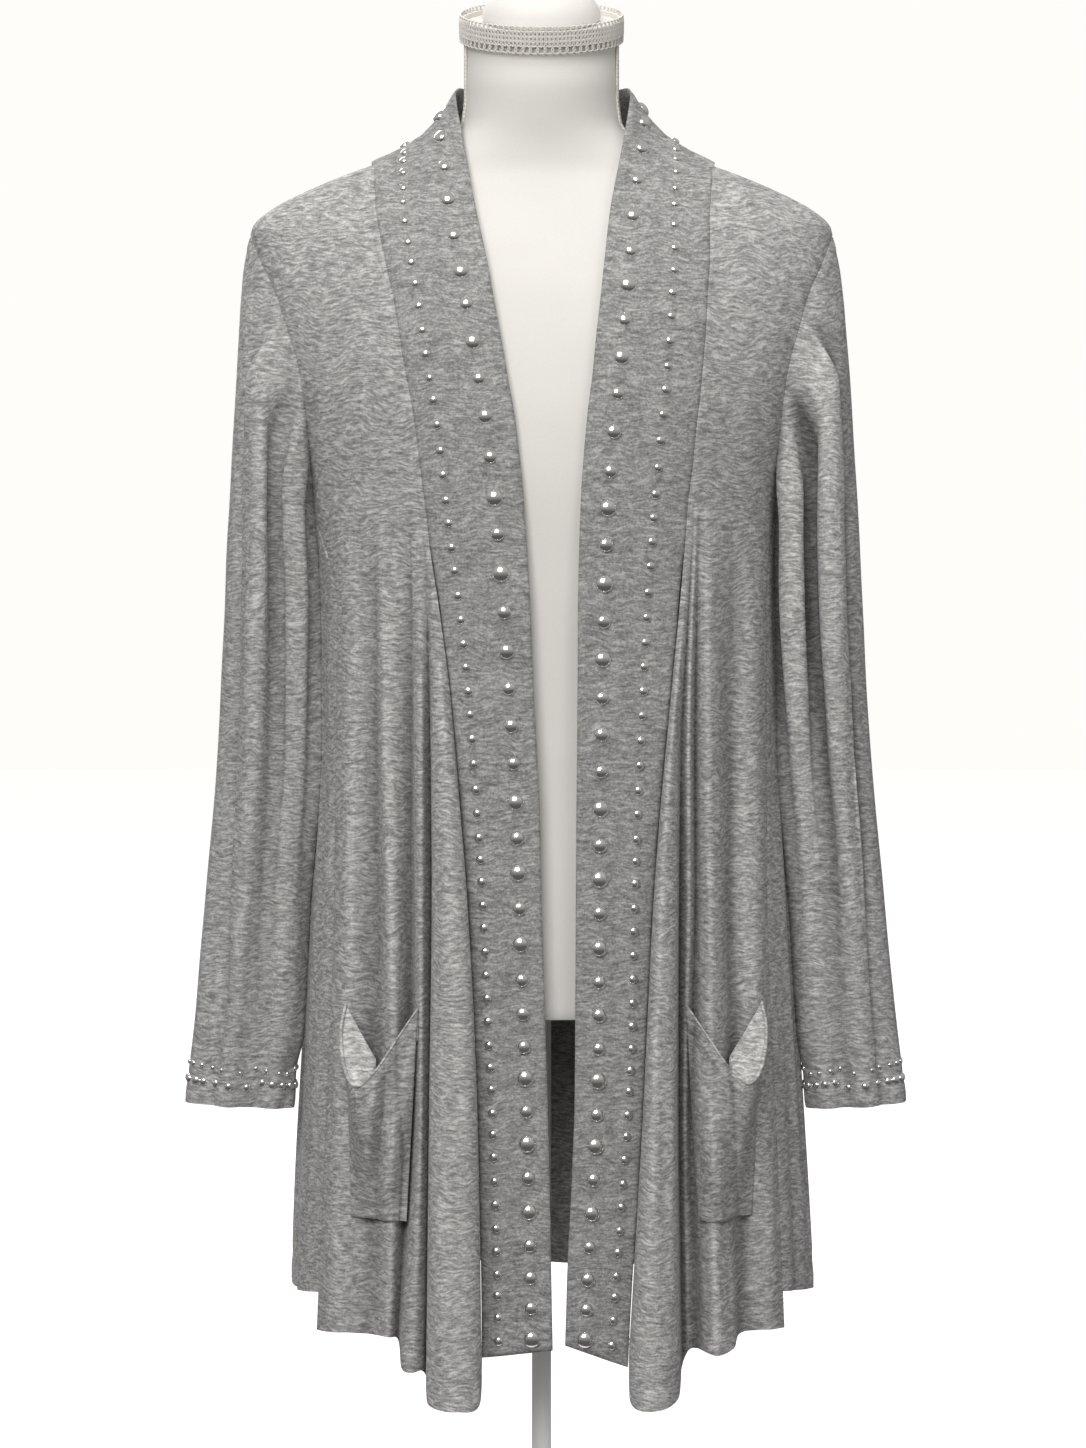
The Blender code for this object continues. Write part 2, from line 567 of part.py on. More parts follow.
# ---------------------------------------------------------------- bands
def band_grid(side, across):
    """The band from its hem up the front and round the neck to the centre back."""
    sign = SIDES[side]
    rows = []
    seam_hem, free_hem = band_hem(side)
    steps = np.linspace(0, 1, across + 1)
    grow = 0.0 if side == "right" else 1.0

    def on_front(zs, zf, seam_x, free_x):
        edge = seam_x - GAP / 2
        w = steps
        out = edge + (free_x - edge) * w
        z = zs + (zf - zs) * w
        x = sign * out
        return np.stack([x, body_y(x, z, "front"), z], -1)

    table = list(band_rows(side))[::-1]
    free_at = lambda z: follow(z / MM, column(band_rows(side), 0), column(band_rows(side), 2)) * MM
    heights = [r[0] * MM for r in table]
    for k, z in enumerate(heights):
        zs, zf = (seam_hem, free_hem) if k == 0 else (z, z)
        rows.append(on_front(zs, zf, float(seam_out(side, zs)), float(free_at(zf))))
        if k + 1 < len(heights) and heights[k + 1] - z > 0.045:
            m = 0.5 * (z + heights[k + 1])
            rows.append(on_front(m, m, float(seam_out(side, m)), float(free_at(m))))
    for _, so, sy, sz, fo, fy, fz, dish, hug in NECK[::-1]:
        behind = sy > 10.0
        wider = grow * NECK_WIDER_LEFT if fo > 5 else 0.0
        seam_x = (so + wider) * MM if behind else float(seam_out(side, sz * MM)) - GAP / 2
        seam = np.array([sign * seam_x, sy * MM if behind else float(body_y(sign * seam_x, sz * MM, "front")), sz * MM])
        if sy > 1.0:
            seam[1] = sy * MM
            seam[2] += 2.2 * MM
        free = np.array([sign * (fo + wider) * MM, fy * MM, fz * MM])
        line = seam[None] + (free - seam)[None] * steps[:, None]
        # the width dips towards the neck's root
        down = np.array([-seam[0], -seam[1], -0.9 * abs(np.hypot(seam[0], seam[1]))])
        down /= np.linalg.norm(down)
        line += (4 * steps * (1 - steps))[:, None] * down[None] * dish * MM
        if hug:
            z_in = np.minimum(line[:, 2], NECK_SEAM_Z)
            line[:, 1] = line[:, 1] * (1 - hug) + body_y(line[:, 0], z_in, "front") * hug
        rows.append(line)
    return np.array(rows)


# ---------------------------------------------------------------- sleeves
def armhole_loop(side, count):
    """Armhole from the shoulder point down the front and up the back, with the way out of it."""
    sign = SIDES[side]
    zs = np.concatenate([np.linspace(SHOULDER_Z, UNDERARM_Z, 200)])
    out = side_edge_out(side, np.maximum(zs, UNDERARM_Z))
    halves = []
    for face in ("front", "back"):
        y = body_y(sign * out, zs, face)
        y[0] = 0.0
        y[-1] = 0.0
        halves.append(np.stack([sign * out, y, zs], -1))
    loop = np.concatenate([halves[0], halves[1][::-1][1:-1]])
    step = np.linalg.norm(np.diff(np.vstack([loop, loop[:1]]), axis=0), axis=1)
    length = np.concatenate([[0], np.cumsum(step)])
    half_way = length[len(halves[0]) - 1]
    t = np.arange(count) / count
    at = np.where(t <= 0.5, t * 2 * half_way, half_way + (t - 0.5) * 2 * (length[-1] - half_way))
    closed = np.vstack([loop, loop[:1]])
    ring = np.stack([np.interp(at, length, closed[:, i]) for i in range(3)], -1)
    return ring, t * 2 * math.pi


def sleeve_ring(side, phi, z):
    """One level ring of the hanging sleeve; phi 0 is outside, pi/2 the front, pi inside."""
    sign = SIDES[side]
    rows = SLEEVE_RIGHT if side == "right" else SLEEVE_LEFT
    outer, inner, front, back = (
        follow(np.asarray(z) / MM, column(rows, 0), column(rows, i)) * MM for i in (1, 2, 3, 4)
    )
    place = (1 - np.cos(phi)) / 2
    places = column(SLEEVE_FOLDS, 1)
    folds = np.where(
        np.sin(phi) >= 0,
        follow(place, places, column(SLEEVE_FOLDS, 2)),
        follow(place, places, column(SLEEVE_FOLDS, 3)),
    ) * MM
    depth = (back - front) / 2
    grow = ramp((0.90 - z) / 0.12) * np.clip(depth / 0.050, 0.45, 1.0)
    middle = (back + front) / 2
    bend = np.sign(np.sin(phi)) * np.abs(np.sin(phi)) ** 0.85
    y = middle - bend * depth - np.where(np.sin(phi) >= 0, 1, -1) * folds * grow
    x = sign * (outer + (inner - outer) * place)
    return np.stack([x, y, np.broadcast_to(z, np.shape(x))], -1)


def sleeve_grid(side, rows, count):
    sign = SIDES[side]
    ring, phi = armhole_loop(side, count)
    place = (1 - np.cos(phi)) / 2
    # start a hair outside the armhole
    away = np.stack([sign * np.ones(count), -0.9 * np.sin(phi), -0.55 * np.cos(phi) - 0.1], -1)
    away[:, 1] *= -0.6                       # the cap leans back over the body's side
    away /= np.linalg.norm(away, axis=1)[:, None]
    start = ring + away * (1.4 * MM)
    join_z = 0.925 - 0.185 * place           # where each line becomes a plain hanging one
    end = sleeve_ring(side, phi, join_z)
    end = clear_of_body(end, 4.2 * MM)
    below = sleeve_ring(side, phi, join_z - 0.02)
    below = clear_of_body(below, 4.2 * MM)
    fall = (below - end) / 0.02
    lead = 0.022 + 0.020 * np.abs(np.sin(phi))
    drop = np.maximum(ring[:, 2] - join_z, 0.02)
    grid = np.zeros((rows, count, 3))
    cap_rows = max(5, rows * 6 // 17)
    for i in range(cap_rows):
        t = i / cap_rows
        t2, t3 = t * t, t * t * t
        grid[i] = (
            (2 * t3 - 3 * t2 + 1) * start
            + (t3 - 2 * t2 + t) * away * lead[:, None] * 1.6
            + (-2 * t3 + 3 * t2) * end
            + (t3 - t2) * fall * drop[:, None]
        )
    cuff = CUFF_Z + 0.004 * (1 - place)
    for i in range(cap_rows, rows):
        t = (i - cap_rows) / (rows - 1 - cap_rows)
        z = join_z + (cuff - join_z) * t
        grid[i] = clear_of_body(sleeve_ring(side, phi, z), 4.2 * MM)
    grid[1:cap_rows] = clear_of_body(grid[1:cap_rows], 2.5 * MM)
    return grid


# ---------------------------------------------------------------- pockets
def front_face_y(side, x, z):
    """y of the frontmost layer of a front at (x, z)."""
    lines = len(fold_table(side))
    u = np.linspace(0, lines - 1, 241)
    shape = np.shape(x)
    xs, zs = np.reshape(x, -1), np.reshape(z, -1)
    result = np.zeros(len(xs))
    for i, (xi, zi) in enumerate(zip(xs, zs)):
        p = front_point(side, u, np.full_like(u, zi))
        px, py = np.abs(p[:, 0]), p[:, 1]
        lo, hi = np.minimum(px[:-1], px[1:]), np.maximum(px[:-1], px[1:])
        hit = np.flatnonzero((lo <= abs(xi)) & (abs(xi) <= hi))
        t = (abs(xi) - px[hit]) / np.where(px[hit + 1] == px[hit], 1, px[hit + 1] - px[hit])
        result[i] = (py[hit] + t * (py[hit + 1] - py[hit])).min()
    return result.reshape(shape)


def pocket_grid(side, rows, cols, lift):
    """A patch laid on the front at its sides and bottom, whose rim sags open."""
    sign = SIDES[side]
    _, top, bottom, in_top, in_bottom, out_top, out_bottom = next(r for r in POCKET_SIDES if r[0] == side)
    p = np.linspace(0, 1, cols)
    q = np.linspace(0, 1, rows)
    places = column(POCKET_RIM, 1)
    across = follow(p, places, column(POCKET_RIM, 2))
    drop = follow(p, places, column(POCKET_RIM, 3))
    out = follow(p, places, column(POCKET_RIM, 4))
    grid = np.zeros((rows, cols, 3))
    for i, qi in enumerate(q):
        settle = (1 - qi) ** 1.4
        share = across * settle + p * (1 - settle)
        z = (top - drop) * (1 - qi) + bottom * qi
        down = (top - z) / (top - bottom)
        edge_out = out_top + (out_bottom - out_top) * down
        edge_in = in_top + (in_bottom - in_top) * down
        x = sign * (edge_out + (edge_in - edge_out) * share) * MM
        z = z * MM
        near = [front_face_y(side, x + dx * MM, z + dz * MM) for dx, dz in ((0, 0), (-4, 0), (4, 0), (0, 8), (0, -8))]
        face = np.min(near, axis=0)
        # over the valleys the patch is stretched from ridge to ridge
        chord = face[0] + (face[-1] - face[0]) * p
        face = np.minimum(face, chord)
        hang = (out - 2.6) * (1 - qi) ** 1.2 + 7.0 * np.sin(math.pi * p) * np.sin(math.pi * qi)
        grid[i] = np.stack([x, face - (lift + hang * MM), z], -1)
    return grid


# ---------------------------------------------------------------- meshes
def unit(v):
    return v / np.maximum(np.linalg.norm(v, axis=-1, keepdims=True), 1e-12)


def normals_of(grid, closed):
    """Normals halfway between the two sides of each bend, longer where the bend is sharp."""
    if closed:
        step = np.roll(grid, -1, 1) - grid
        before, after = np.roll(step, 1, 1), step
    else:
        step = np.diff(grid, axis=1)
        before = np.concatenate([step[:, :1], step], 1)
        after = np.concatenate([step, step[:, -1:]], 1)
    down = unit(np.gradient(grid, axis=0))
    before, after = (unit(s - np.sum(s * down, -1, keepdims=True) * down) for s in (before, after))
    n = unit(np.cross(unit(before + after), down))
    bend = np.clip(np.sum(before * after, -1, keepdims=True), -1, 1)
    return n * np.minimum(1 / np.sqrt(np.maximum((1 + bend) / 2, 1e-6)), 1.7)


def wall(grid, thickness, closed=False, flip=False):
    """Vertices and faces of a wall of even thickness round a grid's surface."""
    n = normals_of(grid, closed) * (-1 if flip else 1)
    rows, cols = grid.shape[:2]
    front = grid + n * thickness / 2
    back = grid - n * thickness / 2
    verts = np.concatenate([front.reshape(-1, 3), back.reshape(-1, 3)])
    off = rows * cols
    faces = []

    def quad(a, b, c, d):
        faces.append((a, b, c, d) if not flip else (d, c, b, a))

    def at(i, j, side=0):
        return side * off + i * cols + j % cols

    span = cols if closed else cols - 1
    for i in range(rows - 1):
        for j in range(span):
            quad(at(i, j), at(i, j + 1), at(i + 1, j + 1), at(i + 1, j))
            quad(at(i, j, 1), at(i + 1, j, 1), at(i + 1, j + 1, 1), at(i, j + 1, 1))
    for j in range(span):
        quad(at(0, j), at(0, j, 1), at(0, j + 1, 1), at(0, j + 1))
        quad(at(rows - 1, j), at(rows - 1, j + 1), at(rows - 1, j + 1, 1), at(rows - 1, j, 1))
    if not closed:
        for i in range(rows - 1):
            quad(at(i, 0), at(i + 1, 0), at(i + 1, 0, 1), at(i, 0, 1))
            quad(at(i, cols - 1), at(i, cols - 1, 1), at(i + 1, cols - 1, 1), at(i + 1, cols - 1))
    return verts, faces


def loft(rings):
    """Closed solid through level rings, with flat ends."""
    rings = np.asarray(rings)
    rows, cols = rings.shape[:2]
    verts = rings.reshape(-1, 3)
    faces = []
    for i in range(rows - 1):
        for j in range(cols):
            k = (j + 1) % cols
            faces.append((i * cols + j, i * cols + k, (i + 1) * cols + k, (i + 1) * cols + j))
    faces.append(tuple(range(cols))[::-1])
    faces.append(tuple((rows - 1) * cols + j for j in range(cols)))
    return verts, faces


def volume_of(verts, faces):
    total = 0.0
    for f in faces:
        a = verts[f[0]]
        for i in range(1, len(f) - 1):
            total += np.dot(a, np.cross(verts[f[i]], verts[f[i + 1]]))
    return total / 6


def material(name, colour, roughness, metallic=0.0):
    made = bpy.data.materials.new(name)
    made.use_nodes = True
    shader = made.node_tree.nodes["Principled BSDF"]
    shader.inputs["Base Color"].default_value = (*colour, 1.0)
    shader.inputs["Roughness"].default_value = roughness
    shader.inputs["Metallic"].default_value = metallic
    made.diffuse_color = (*colour, 1.0)
    return made


def add(name, shape, made_of, parent, sharp=40.0):
    verts, faces = shape
    verts = np.asarray(verts, float)
    if volume_of(verts, faces) < 0:
        faces = [tuple(f)[::-1] for f in faces]
    mesh = bpy.data.meshes.new(name)
    mesh.from_pydata([tuple(v) for v in verts], [], [tuple(int(i) for i in f) for f in faces])
    mesh.validate()
    mesh.update()
    mesh.shade_smooth()
    mesh.set_sharp_from_angle(angle=math.radians(sharp))
    mesh.materials.append(made_of)
    obj = bpy.data.objects.new(name, mesh)
    obj.parent = parent
    bpy.context.scene.collection.objects.link(obj)
    return obj


# ---------------------------------------------------------------- form and stand
def form_rings():
    zs = np.array(column(FORM, 1))
    heights = []
    for a, b in zip(zs[:-1], zs[1:]):
        heights += [a, (a + b) / 2] if a - b > 35 else [a]
    heights.append(zs[-1])
    angle = np.arange(FORM_ROUND) * 2 * math.pi / FORM_ROUND
    rings = []
    for z in heights[::-1]:
        half, lean, front, back, power = (follow(z, zs, column(FORM, i)) for i in (2, 3, 4, 5, 6))
        c, s = np.cos(angle), np.sin(angle)
        x = half * np.sign(c) * np.abs(c) ** (2 / power)
        y = np.where(s < 0, front, back) * np.sign(s) * np.abs(s) ** (2 / power) + lean
        zz = np.full_like(x, z)
        if z == zs[-1]:
            # a small round at the cut underside
            rings.append(np.stack([x * 0.982, y * 0.982, zz], -1) * MM)
            zz = zz + 3.0
        rings.append(np.stack([x, y, zz], -1) * MM)
    rings.append(neck_ring(NECK_RADIUS, -0.0195))
    rings.append(neck_ring(NECK_RADIUS, 0.0))
    return rings


def neck_ring(radius, up, count=None):
    """Ring round the neck's tilted top plane, moved along the plane's normal."""
    angle = np.arange(count or FORM_ROUND) * 2 * math.pi / (count or FORM_ROUND)
    tilt = math.radians(NECK_TILT)
    x = radius * np.cos(angle)
    a = radius * np.sin(angle)
    y = NECK_LEAN + a * math.cos(tilt) - up * math.sin(tilt)
    z = NECK_TOP_Z + a * math.sin(tilt) + up * math.cos(tilt)
    return np.stack([x, y, z], -1)


def trim_shape():
    """Braid ring round the neck's top edge, open above and below."""
    inner = NECK_RADIUS + 2 * GAP
    outer = inner + TRIM_WALL
    rings = [
        neck_ring(inner, 0.0035), neck_ring(outer - 0.0006, 0.0035), neck_ring(outer, 0.0026),
        neck_ring(outer, -TRIM_HEIGHT + 0.0044), neck_ring(outer - 0.0006, -TRIM_HEIGHT + 0.0035),
        neck_ring(inner, -TRIM_HEIGHT + 0.0035),
    ]
    rings = np.array(rings)
    rows, cols = rings.shape[:2]
    faces = []
    for i in range(rows):
        k = (i + 1) % rows
        for j in range(cols):
            m = (j + 1) % cols
            faces.append((i * cols + j, i * cols + m, k * cols + m, k * cols + j))
    return rings.reshape(-1, 3), faces


def cap_shape():
    profile = (
        # share of the radius, height
        (0.97, 0.0), (1.0, 0.003), (0.99, 0.008), (0.93, 0.0135), (0.80, 0.0185),
        (0.60, 0.0225), (0.36, 0.0250), (0.14, 0.0260),
    )
    rings = [neck_ring(CAP_RADIUS * r, GAP + h / 0.026 * CAP_HEIGHT, 24) for r, h in profile]
    return loft(rings)


def turned(profile, count):
    angle = np.arange(count) * 2 * math.pi / count
    return loft([np.stack([r * np.cos(angle), r * np.sin(angle), np.full(count, z)], -1) for r, z in profile])


def build():
    for obj in list(bpy.data.objects):
        bpy.data.objects.remove(obj, do_unlink=True)

    root = bpy.data.objects.new("cardigan_on_form", None)
    bpy.context.scene.collection.objects.link(root)

    grey = (0.235, 0.232, 0.225)
    cloth = {
        name: material(name, grey, 0.92)
        for name in ("back_jersey", "front_jersey", "band_jersey", "sleeve_jersey", "pocket_jersey")
    }

    add("back", wall(back_grid(PANEL_ROWS, BACK_COLS), CLOTH), cloth["back_jersey"], root, 50)
    for side in ("right", "left"):
        add("front_" + side, wall(front_grid(side, PANEL_ROWS), CLOTH), cloth["front_jersey"], root, 50)
        add("band_" + side, wall(band_grid(side, BAND_ACROSS), BAND_CLOTH), cloth["band_jersey"], root, 50)
        add("sleeve_" + side, wall(sleeve_grid(side, SLEEVE_ROWS, SLEEVE_ROUND), CLOTH, closed=True), cloth["sleeve_jersey"], root, 50)
        add("pocket_" + side, wall(pocket_grid(side, POCKET_ROWS, POCKET_COLS, 3.0 * MM), POCKET_CLOTH), cloth["pocket_jersey"], root, 50)

    cover = material("form_cover", (0.78, 0.74, 0.68), 0.85)
    add("form_torso", loft(form_rings()), cover, root)
    add("form_neck_trim", trim_shape(), material("form_braid", (0.74, 0.70, 0.63), 0.8), root)
    add("form_neck_cap", cap_shape(), material("form_cap", (0.78, 0.74, 0.68), 0.85), root)

    steel = material("stand_steel", (0.80, 0.79, 0.77), 0.40)
    add("form_pole", turned(((POLE_RADIUS, FOOT_HEIGHT + GAP), (POLE_RADIUS, FORM_BOTTOM_Z - GAP)), 16), steel, root)
    foot = (
        (FOOT_RADIUS - 0.002, 0.0), (FOOT_RADIUS, 0.002), (FOOT_RADIUS, FOOT_HEIGHT - FOOT_EDGE),
        (FOOT_RADIUS - 0.002, FOOT_HEIGHT - 0.002), (FOOT_RADIUS - FOOT_EDGE, FOOT_HEIGHT),
    )
    add("form_base", turned(foot, 48), material("stand_foot", (0.80, 0.79, 0.77), 0.40), root)


build()
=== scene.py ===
"""Looks of the waterfall cardigan on its dress form: cloth with its folds, studs, stitches, form and stand."""
import math

import bpy
import numpy as np
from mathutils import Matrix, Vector


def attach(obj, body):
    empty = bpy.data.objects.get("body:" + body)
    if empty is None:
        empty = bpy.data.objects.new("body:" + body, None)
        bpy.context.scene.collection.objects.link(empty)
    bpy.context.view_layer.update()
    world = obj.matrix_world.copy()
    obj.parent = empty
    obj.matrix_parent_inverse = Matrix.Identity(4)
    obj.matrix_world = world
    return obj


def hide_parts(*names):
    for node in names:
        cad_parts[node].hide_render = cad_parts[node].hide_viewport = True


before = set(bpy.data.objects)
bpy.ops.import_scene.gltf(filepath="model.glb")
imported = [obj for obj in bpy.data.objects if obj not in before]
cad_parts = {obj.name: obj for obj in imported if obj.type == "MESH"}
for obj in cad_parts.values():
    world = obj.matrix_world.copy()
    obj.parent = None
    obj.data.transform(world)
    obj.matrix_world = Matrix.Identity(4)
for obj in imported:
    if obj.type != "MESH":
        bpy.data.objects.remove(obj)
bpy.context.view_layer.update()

MM = 0.001

# ---------------------------------------------------------------- driving sizes
CLOTH = 1.3 * MM            # jersey of the fronts, back and sleeves
BAND_CLOTH = 2.6 * MM       # the band is double
POCKET_CLOTH = 1.4 * MM
GAP = 0.3 * MM              # between neighbouring pieces

SHOULDER_Z = 0.9765         # shoulder point
SHOULDER_X = 0.2088
NECK_SEAM_Z = 1.0262        # where the shoulder seam meets the band
NECK_WIDER_LEFT = 2.4       # millimetres the left band seam runs wider at the neck
UNDERARM_Z = 0.786
BACK_HEM_Z = 0.2090
SIDE_HEM_Z = 0.2210         # the back hem rises a little towards the side seams
CUFF_Z = 0.3470

NECK_RADIUS = 0.0556
NECK_TOP_Z = 1.1270
NECK_TILT = 15.0            # degrees, front edge lower
NECK_LEAN = -0.006          # the neck's top stands this far forward
TRIM_HEIGHT = 0.0200
TRIM_WALL = 0.0022
CAP_RADIUS = 0.0425
CAP_HEIGHT = 0.0260
FORM_BOTTOM_Z = 0.4205

POLE_RADIUS = 0.0070
FOOT_RADIUS = 0.1650
FOOT_HEIGHT = 0.0160
FOOT_EDGE = 0.0060

# ---------------------------------------------------------------- tables, millimetres
# Outside of the cardigan's body without its folds: a superellipse at each height.
BODY = (
    # name          z    half  shift front  back power
    ("neck_seam", 1026.2, 119.7, 0.0, 47.0, 60.0, 2.20),
    ("slope_high", 1015.5, 147.9, 0.0, 56.0, 68.0, 2.25),
    ("slope_mid", 1004.8, 172.5, 0.0, 63.5, 75.0, 2.30),
    ("slope_low", 994.0, 192.8, 0.0, 70.0, 81.0, 2.35),
    ("slope_end", 983.3, 205.8, 0.0, 76.0, 86.0, 2.40),
    ("shoulder", 976.0, 209.2, 0.0, 79.5, 89.0, 2.40),
    ("blade", 950.0, 209.0, 0.3, 91.0, 96.0, 2.40),
    ("chest_high", 925.0, 204.5, 0.7, 100.0, 100.0, 2.40),
    ("chest", 876.0, 192.0, 1.5, 111.5, 101.0, 2.40),
    ("chest_low", 831.0, 178.0, 1.8, 117.0, 99.0, 2.35),
    ("underarm", 786.0, 168.2, 1.8, 119.0, 96.0, 2.30),
    ("under_bust", 750.0, 165.6, 2.8, 119.5, 94.0, 2.30),
    ("waist_high", 700.0, 164.6, 4.2, 119.5, 93.0, 2.30),
    ("waist", 610.0, 165.0, 5.5, 119.5, 98.0, 2.30),
    ("hip", 500.0, 172.3, 5.5, 120.0, 110.0, 2.30),
    ("thigh", 360.0, 180.2, 5.5, 121.0, 119.0, 2.30),
    ("low", 280.0, 184.6, 5.5, 121.5, 122.0, 2.30),
    ("hem", 140.0, 190.5, 5.5, 122.0, 124.0, 2.30),
)

# Armhole edge of the body, outward from the shifted axis.
ARMHOLE = (
    # z      out
    (976.5, 208.8),
    (954.0, 199.4),
    (934.0, 190.2),
    (906.0, 181.4),
    (877.0, 173.4),
    (831.0, 168.6),
    (800.0, 168.3),
    (786.0, 168.15),
)

# Side seam below the underarm: how far out it runs on each side, from the axis.
SIDE_SEAM = (
    # z     right   left
    (786.0, 166.35, 169.95),
    (775.0, 163.0, 167.6),
    (760.0, 156.5, 164.5),
    (740.0, 149.5, 161.5),
    (715.0, 144.6, 159.9),
    (610.0, 146.1, 160.3),
    (510.0, 146.8, 160.3),
    (370.0, 152.4, 165.9),
    (190.0, 160.2, 173.4),
)

# Seam between front and band, and the band's free edge, out from the axis.
BAND_RIGHT = (
    # z     seam   free
    (951.0, 109.3, 37.4),
    (930.0, 104.6, 33.8),
    (900.0, 99.4, 28.2),
    (871.0, 94.4, 23.3),
    (843.0, 89.4, 18.4),
    (800.0, 83.9, 13.5),
    (751.0, 77.2, 10.0),
    (716.5, 71.5, 8.0),
    (647.0, 62.9, 5.2),
    (563.0, 56.0, 1.0),
    (507.5, 51.8, -0.1),
    (424.0, 47.6, -2.5),
    (355.0, 44.8, -4.6),
    (254.0, 42.7, -6.7),
    (187.0, 42.0, -8.0),
)
BAND_LEFT = (
    # z     seam   free
    (951.0, 118.6, 43.8),
    (930.0, 117.0, 41.6),
    (900.0, 115.3, 38.1),
    (871.0, 112.4, 35.3),
    (843.0, 109.6, 31.7),
    (800.0, 105.0, 28.2),
    (751.0, 99.6, 26.2),
    (716.5, 96.3, 25.5),
    (647.0, 90.2, 25.2),
    (563.0, 82.5, 24.4),
    (507.5, 78.4, 24.1),
    (424.0, 74.2, 23.7),
    (355.0, 71.0, 23.0),
    (254.0, 65.1, 18.5),
    (185.0, 61.0, 16.4),
)
# The band round the neck, from centre back to the collar bone. hug is how far
# its width follows the body, dish how far its middle dips in.
NECK = (
    # name          seam_out seam_y seam_z free_out free_y free_z dish hug
    ("centre_back", 0.45, 84.0, 1010.0, 0.45, 66.0, 1083.0, 3.0, 0.0),
    ("back_quarter", 44.0, 78.0, 1012.5, 29.0, 60.5, 1083.5, 4.0, 0.0),
    ("back_side", 85.0, 55.0, 1018.5, 50.5, 40.0, 1083.0, 6.0, 0.0),
    ("shoulder", 119.6, 2.0, 1026.2, 60.8, 6.0, 1081.0, 8.5, 0.0),
    ("neck_side", 119.6, -20.0, 1021.5, 60.4, -16.0, 1067.5, 8.0, 0.0),
    ("neck_front", 119.3, -32.0, 1014.0, 56.8, -38.0, 1046.0, 5.5, 0.0),
    ("collar_bone", 118.2, -44.0, 1003.0, 51.8, -54.5, 1021.0, 3.5, 0.2),
    ("chest_top", 116.6, -58.0, 986.0, 46.0, -68.0, 990.0, 1.0, 0.7),
)
BAND_HEM = (
    # side   seam_z  free_z
    ("right", 184.0, 189.5),
    ("left", 177.0, 193.0),
)

# Hanging folds of each front, from the side seam to the band. share is the line's
# place across the chest; x is how far out it hangs and d how far it stands proud
# of the body at 715, 610, 510 and 370 high and at its hem.
FOLD_Z = (715.0, 610.0, 510.0, 370.0)
FOLDS_RIGHT = (
    # name        share   x715   x610   x510   x370   xhem  d715 d610 d510 d370 dhem hem_z
    ("side", 0.000, 144.6, 146.1, 146.8, 152.4, 160.2, 0, 0, 0, 0, 0, 194.0),
    ("ridge_b", 0.310, 135.4, 136.1, 136.8, 141.0, 146.6, 3, 5, 6, 6, 5, 195.5),
    ("valley_c", 0.540, 118.1, 117.4, 116.7, 118.1, 123.0, -3, -6, -8, -7, -4, 196.0),
    ("ridge_d", 0.620, 110.7, 109.3, 106.5, 103.8, 108.6, 3, 6, 8, 7, 5, 196.0),
    ("valley_e", 0.860, 92.9, 92.2, 92.2, 93.3, 101.6, -6, -13, -14, -15, -12, 192.0),
    ("fold_f_out", 0.895, 88.9, 88.2, 87.7, 87.2, 98.4, 0, 0, 0, 3, 8, 176.0),
    ("fold_f", 0.917, 85.2, 84.2, 83.9, 84.2, 91.0, 2, 4, 4, 7, 13, 174.0),
    ("fold_f_in", 0.936, 82.2, 80.6, 79.9, 80.9, 84.2, 0, -3, -4, -2, 5, 174.5),
    ("tuck_g", 0.952, 79.6, 77.6, 76.9, 78.3, 80.6, -3, -10, -12, -12, -11, 165.0),
    ("fold_E_out", 0.966, 77.7, 75.6, 74.6, 76.2, 78.6, 0, 9, 17, 24, 28, 155.0),
    ("fold_E", 0.978, 75.8, 67.9, 63.1, 61.0, 59.6, 1.5, 15, 25, 34, 41, 153.5),
    ("fold_E_in", 0.989, 74.1, 62.0, 53.4, 46.8, 43.4, 1, 9, 17, 24, 28, 156.0),
    ("seam", 1.000, 71.5, 60.1, 51.7, 45.5, 42.0, 0, 0, 0, 0, 0, 184.0),
)
FOLDS_LEFT = (
    # name        share   x715   x610   x510   x370   xhem  d715 d610 d510 d370 dhem hem_z
    ("side", 0.000, 159.9, 160.3, 160.3, 165.9, 173.4, 0, 0, 0, 0, 0, 195.0),
    ("ridge_b", 0.260, 150.6, 150.6, 151.3, 155.5, 162.6, 3, 4, 5, 5, 4, 196.5),
    ("valley_c", 0.520, 135.1, 133.7, 133.0, 137.2, 141.4, -3, -6, -7, -6, -2, 196.0),
    ("ridge_d_out", 0.700, 122.3, 123.7, 124.8, 126.5, 135.9, 3, 5, 6, 8, 11, 188.5),
    ("ridge_d", 0.770, 117.0, 117.3, 118.7, 118.4, 125.3, 5, 8, 9, 12, 17, 185.5),
    ("ridge_d_in", 0.835, 112.2, 112.2, 113.2, 111.3, 116.3, 0, 1, -1, 0, 7, 186.5),
    ("valley_e", 0.880, 109.0, 108.3, 108.8, 106.4, 110.2, -6, -12, -14, -16, -12, 186.0),
    ("fold_f", 0.915, 106.0, 103.4, 103.7, 101.2, 104.0, 1, 1, -1, -8, -11, 185.0),
    ("tuck_g", 0.940, 103.6, 98.1, 97.0, 96.5, 99.0, -3, -9, -13, -16, -12, 172.0),
    ("fold_E_out", 0.960, 101.9, 94.3, 93.6, 92.3, 95.0, 0, 8, 16, 23, 28, 158.0),
    ("fold_E", 0.975, 100.3, 90.4, 84.6, 80.5, 77.0, 1, 14, 24, 33, 41, 153.5),
    ("fold_E_in", 0.988, 98.9, 87.8, 79.9, 72.4, 62.6, 0.6, 8, 16, 23, 28, 157.0),
    ("seam", 1.000, 96.3, 86.2, 78.2, 71.0, 61.0, 0, 0, 0, 0, 0, 178.0),
)

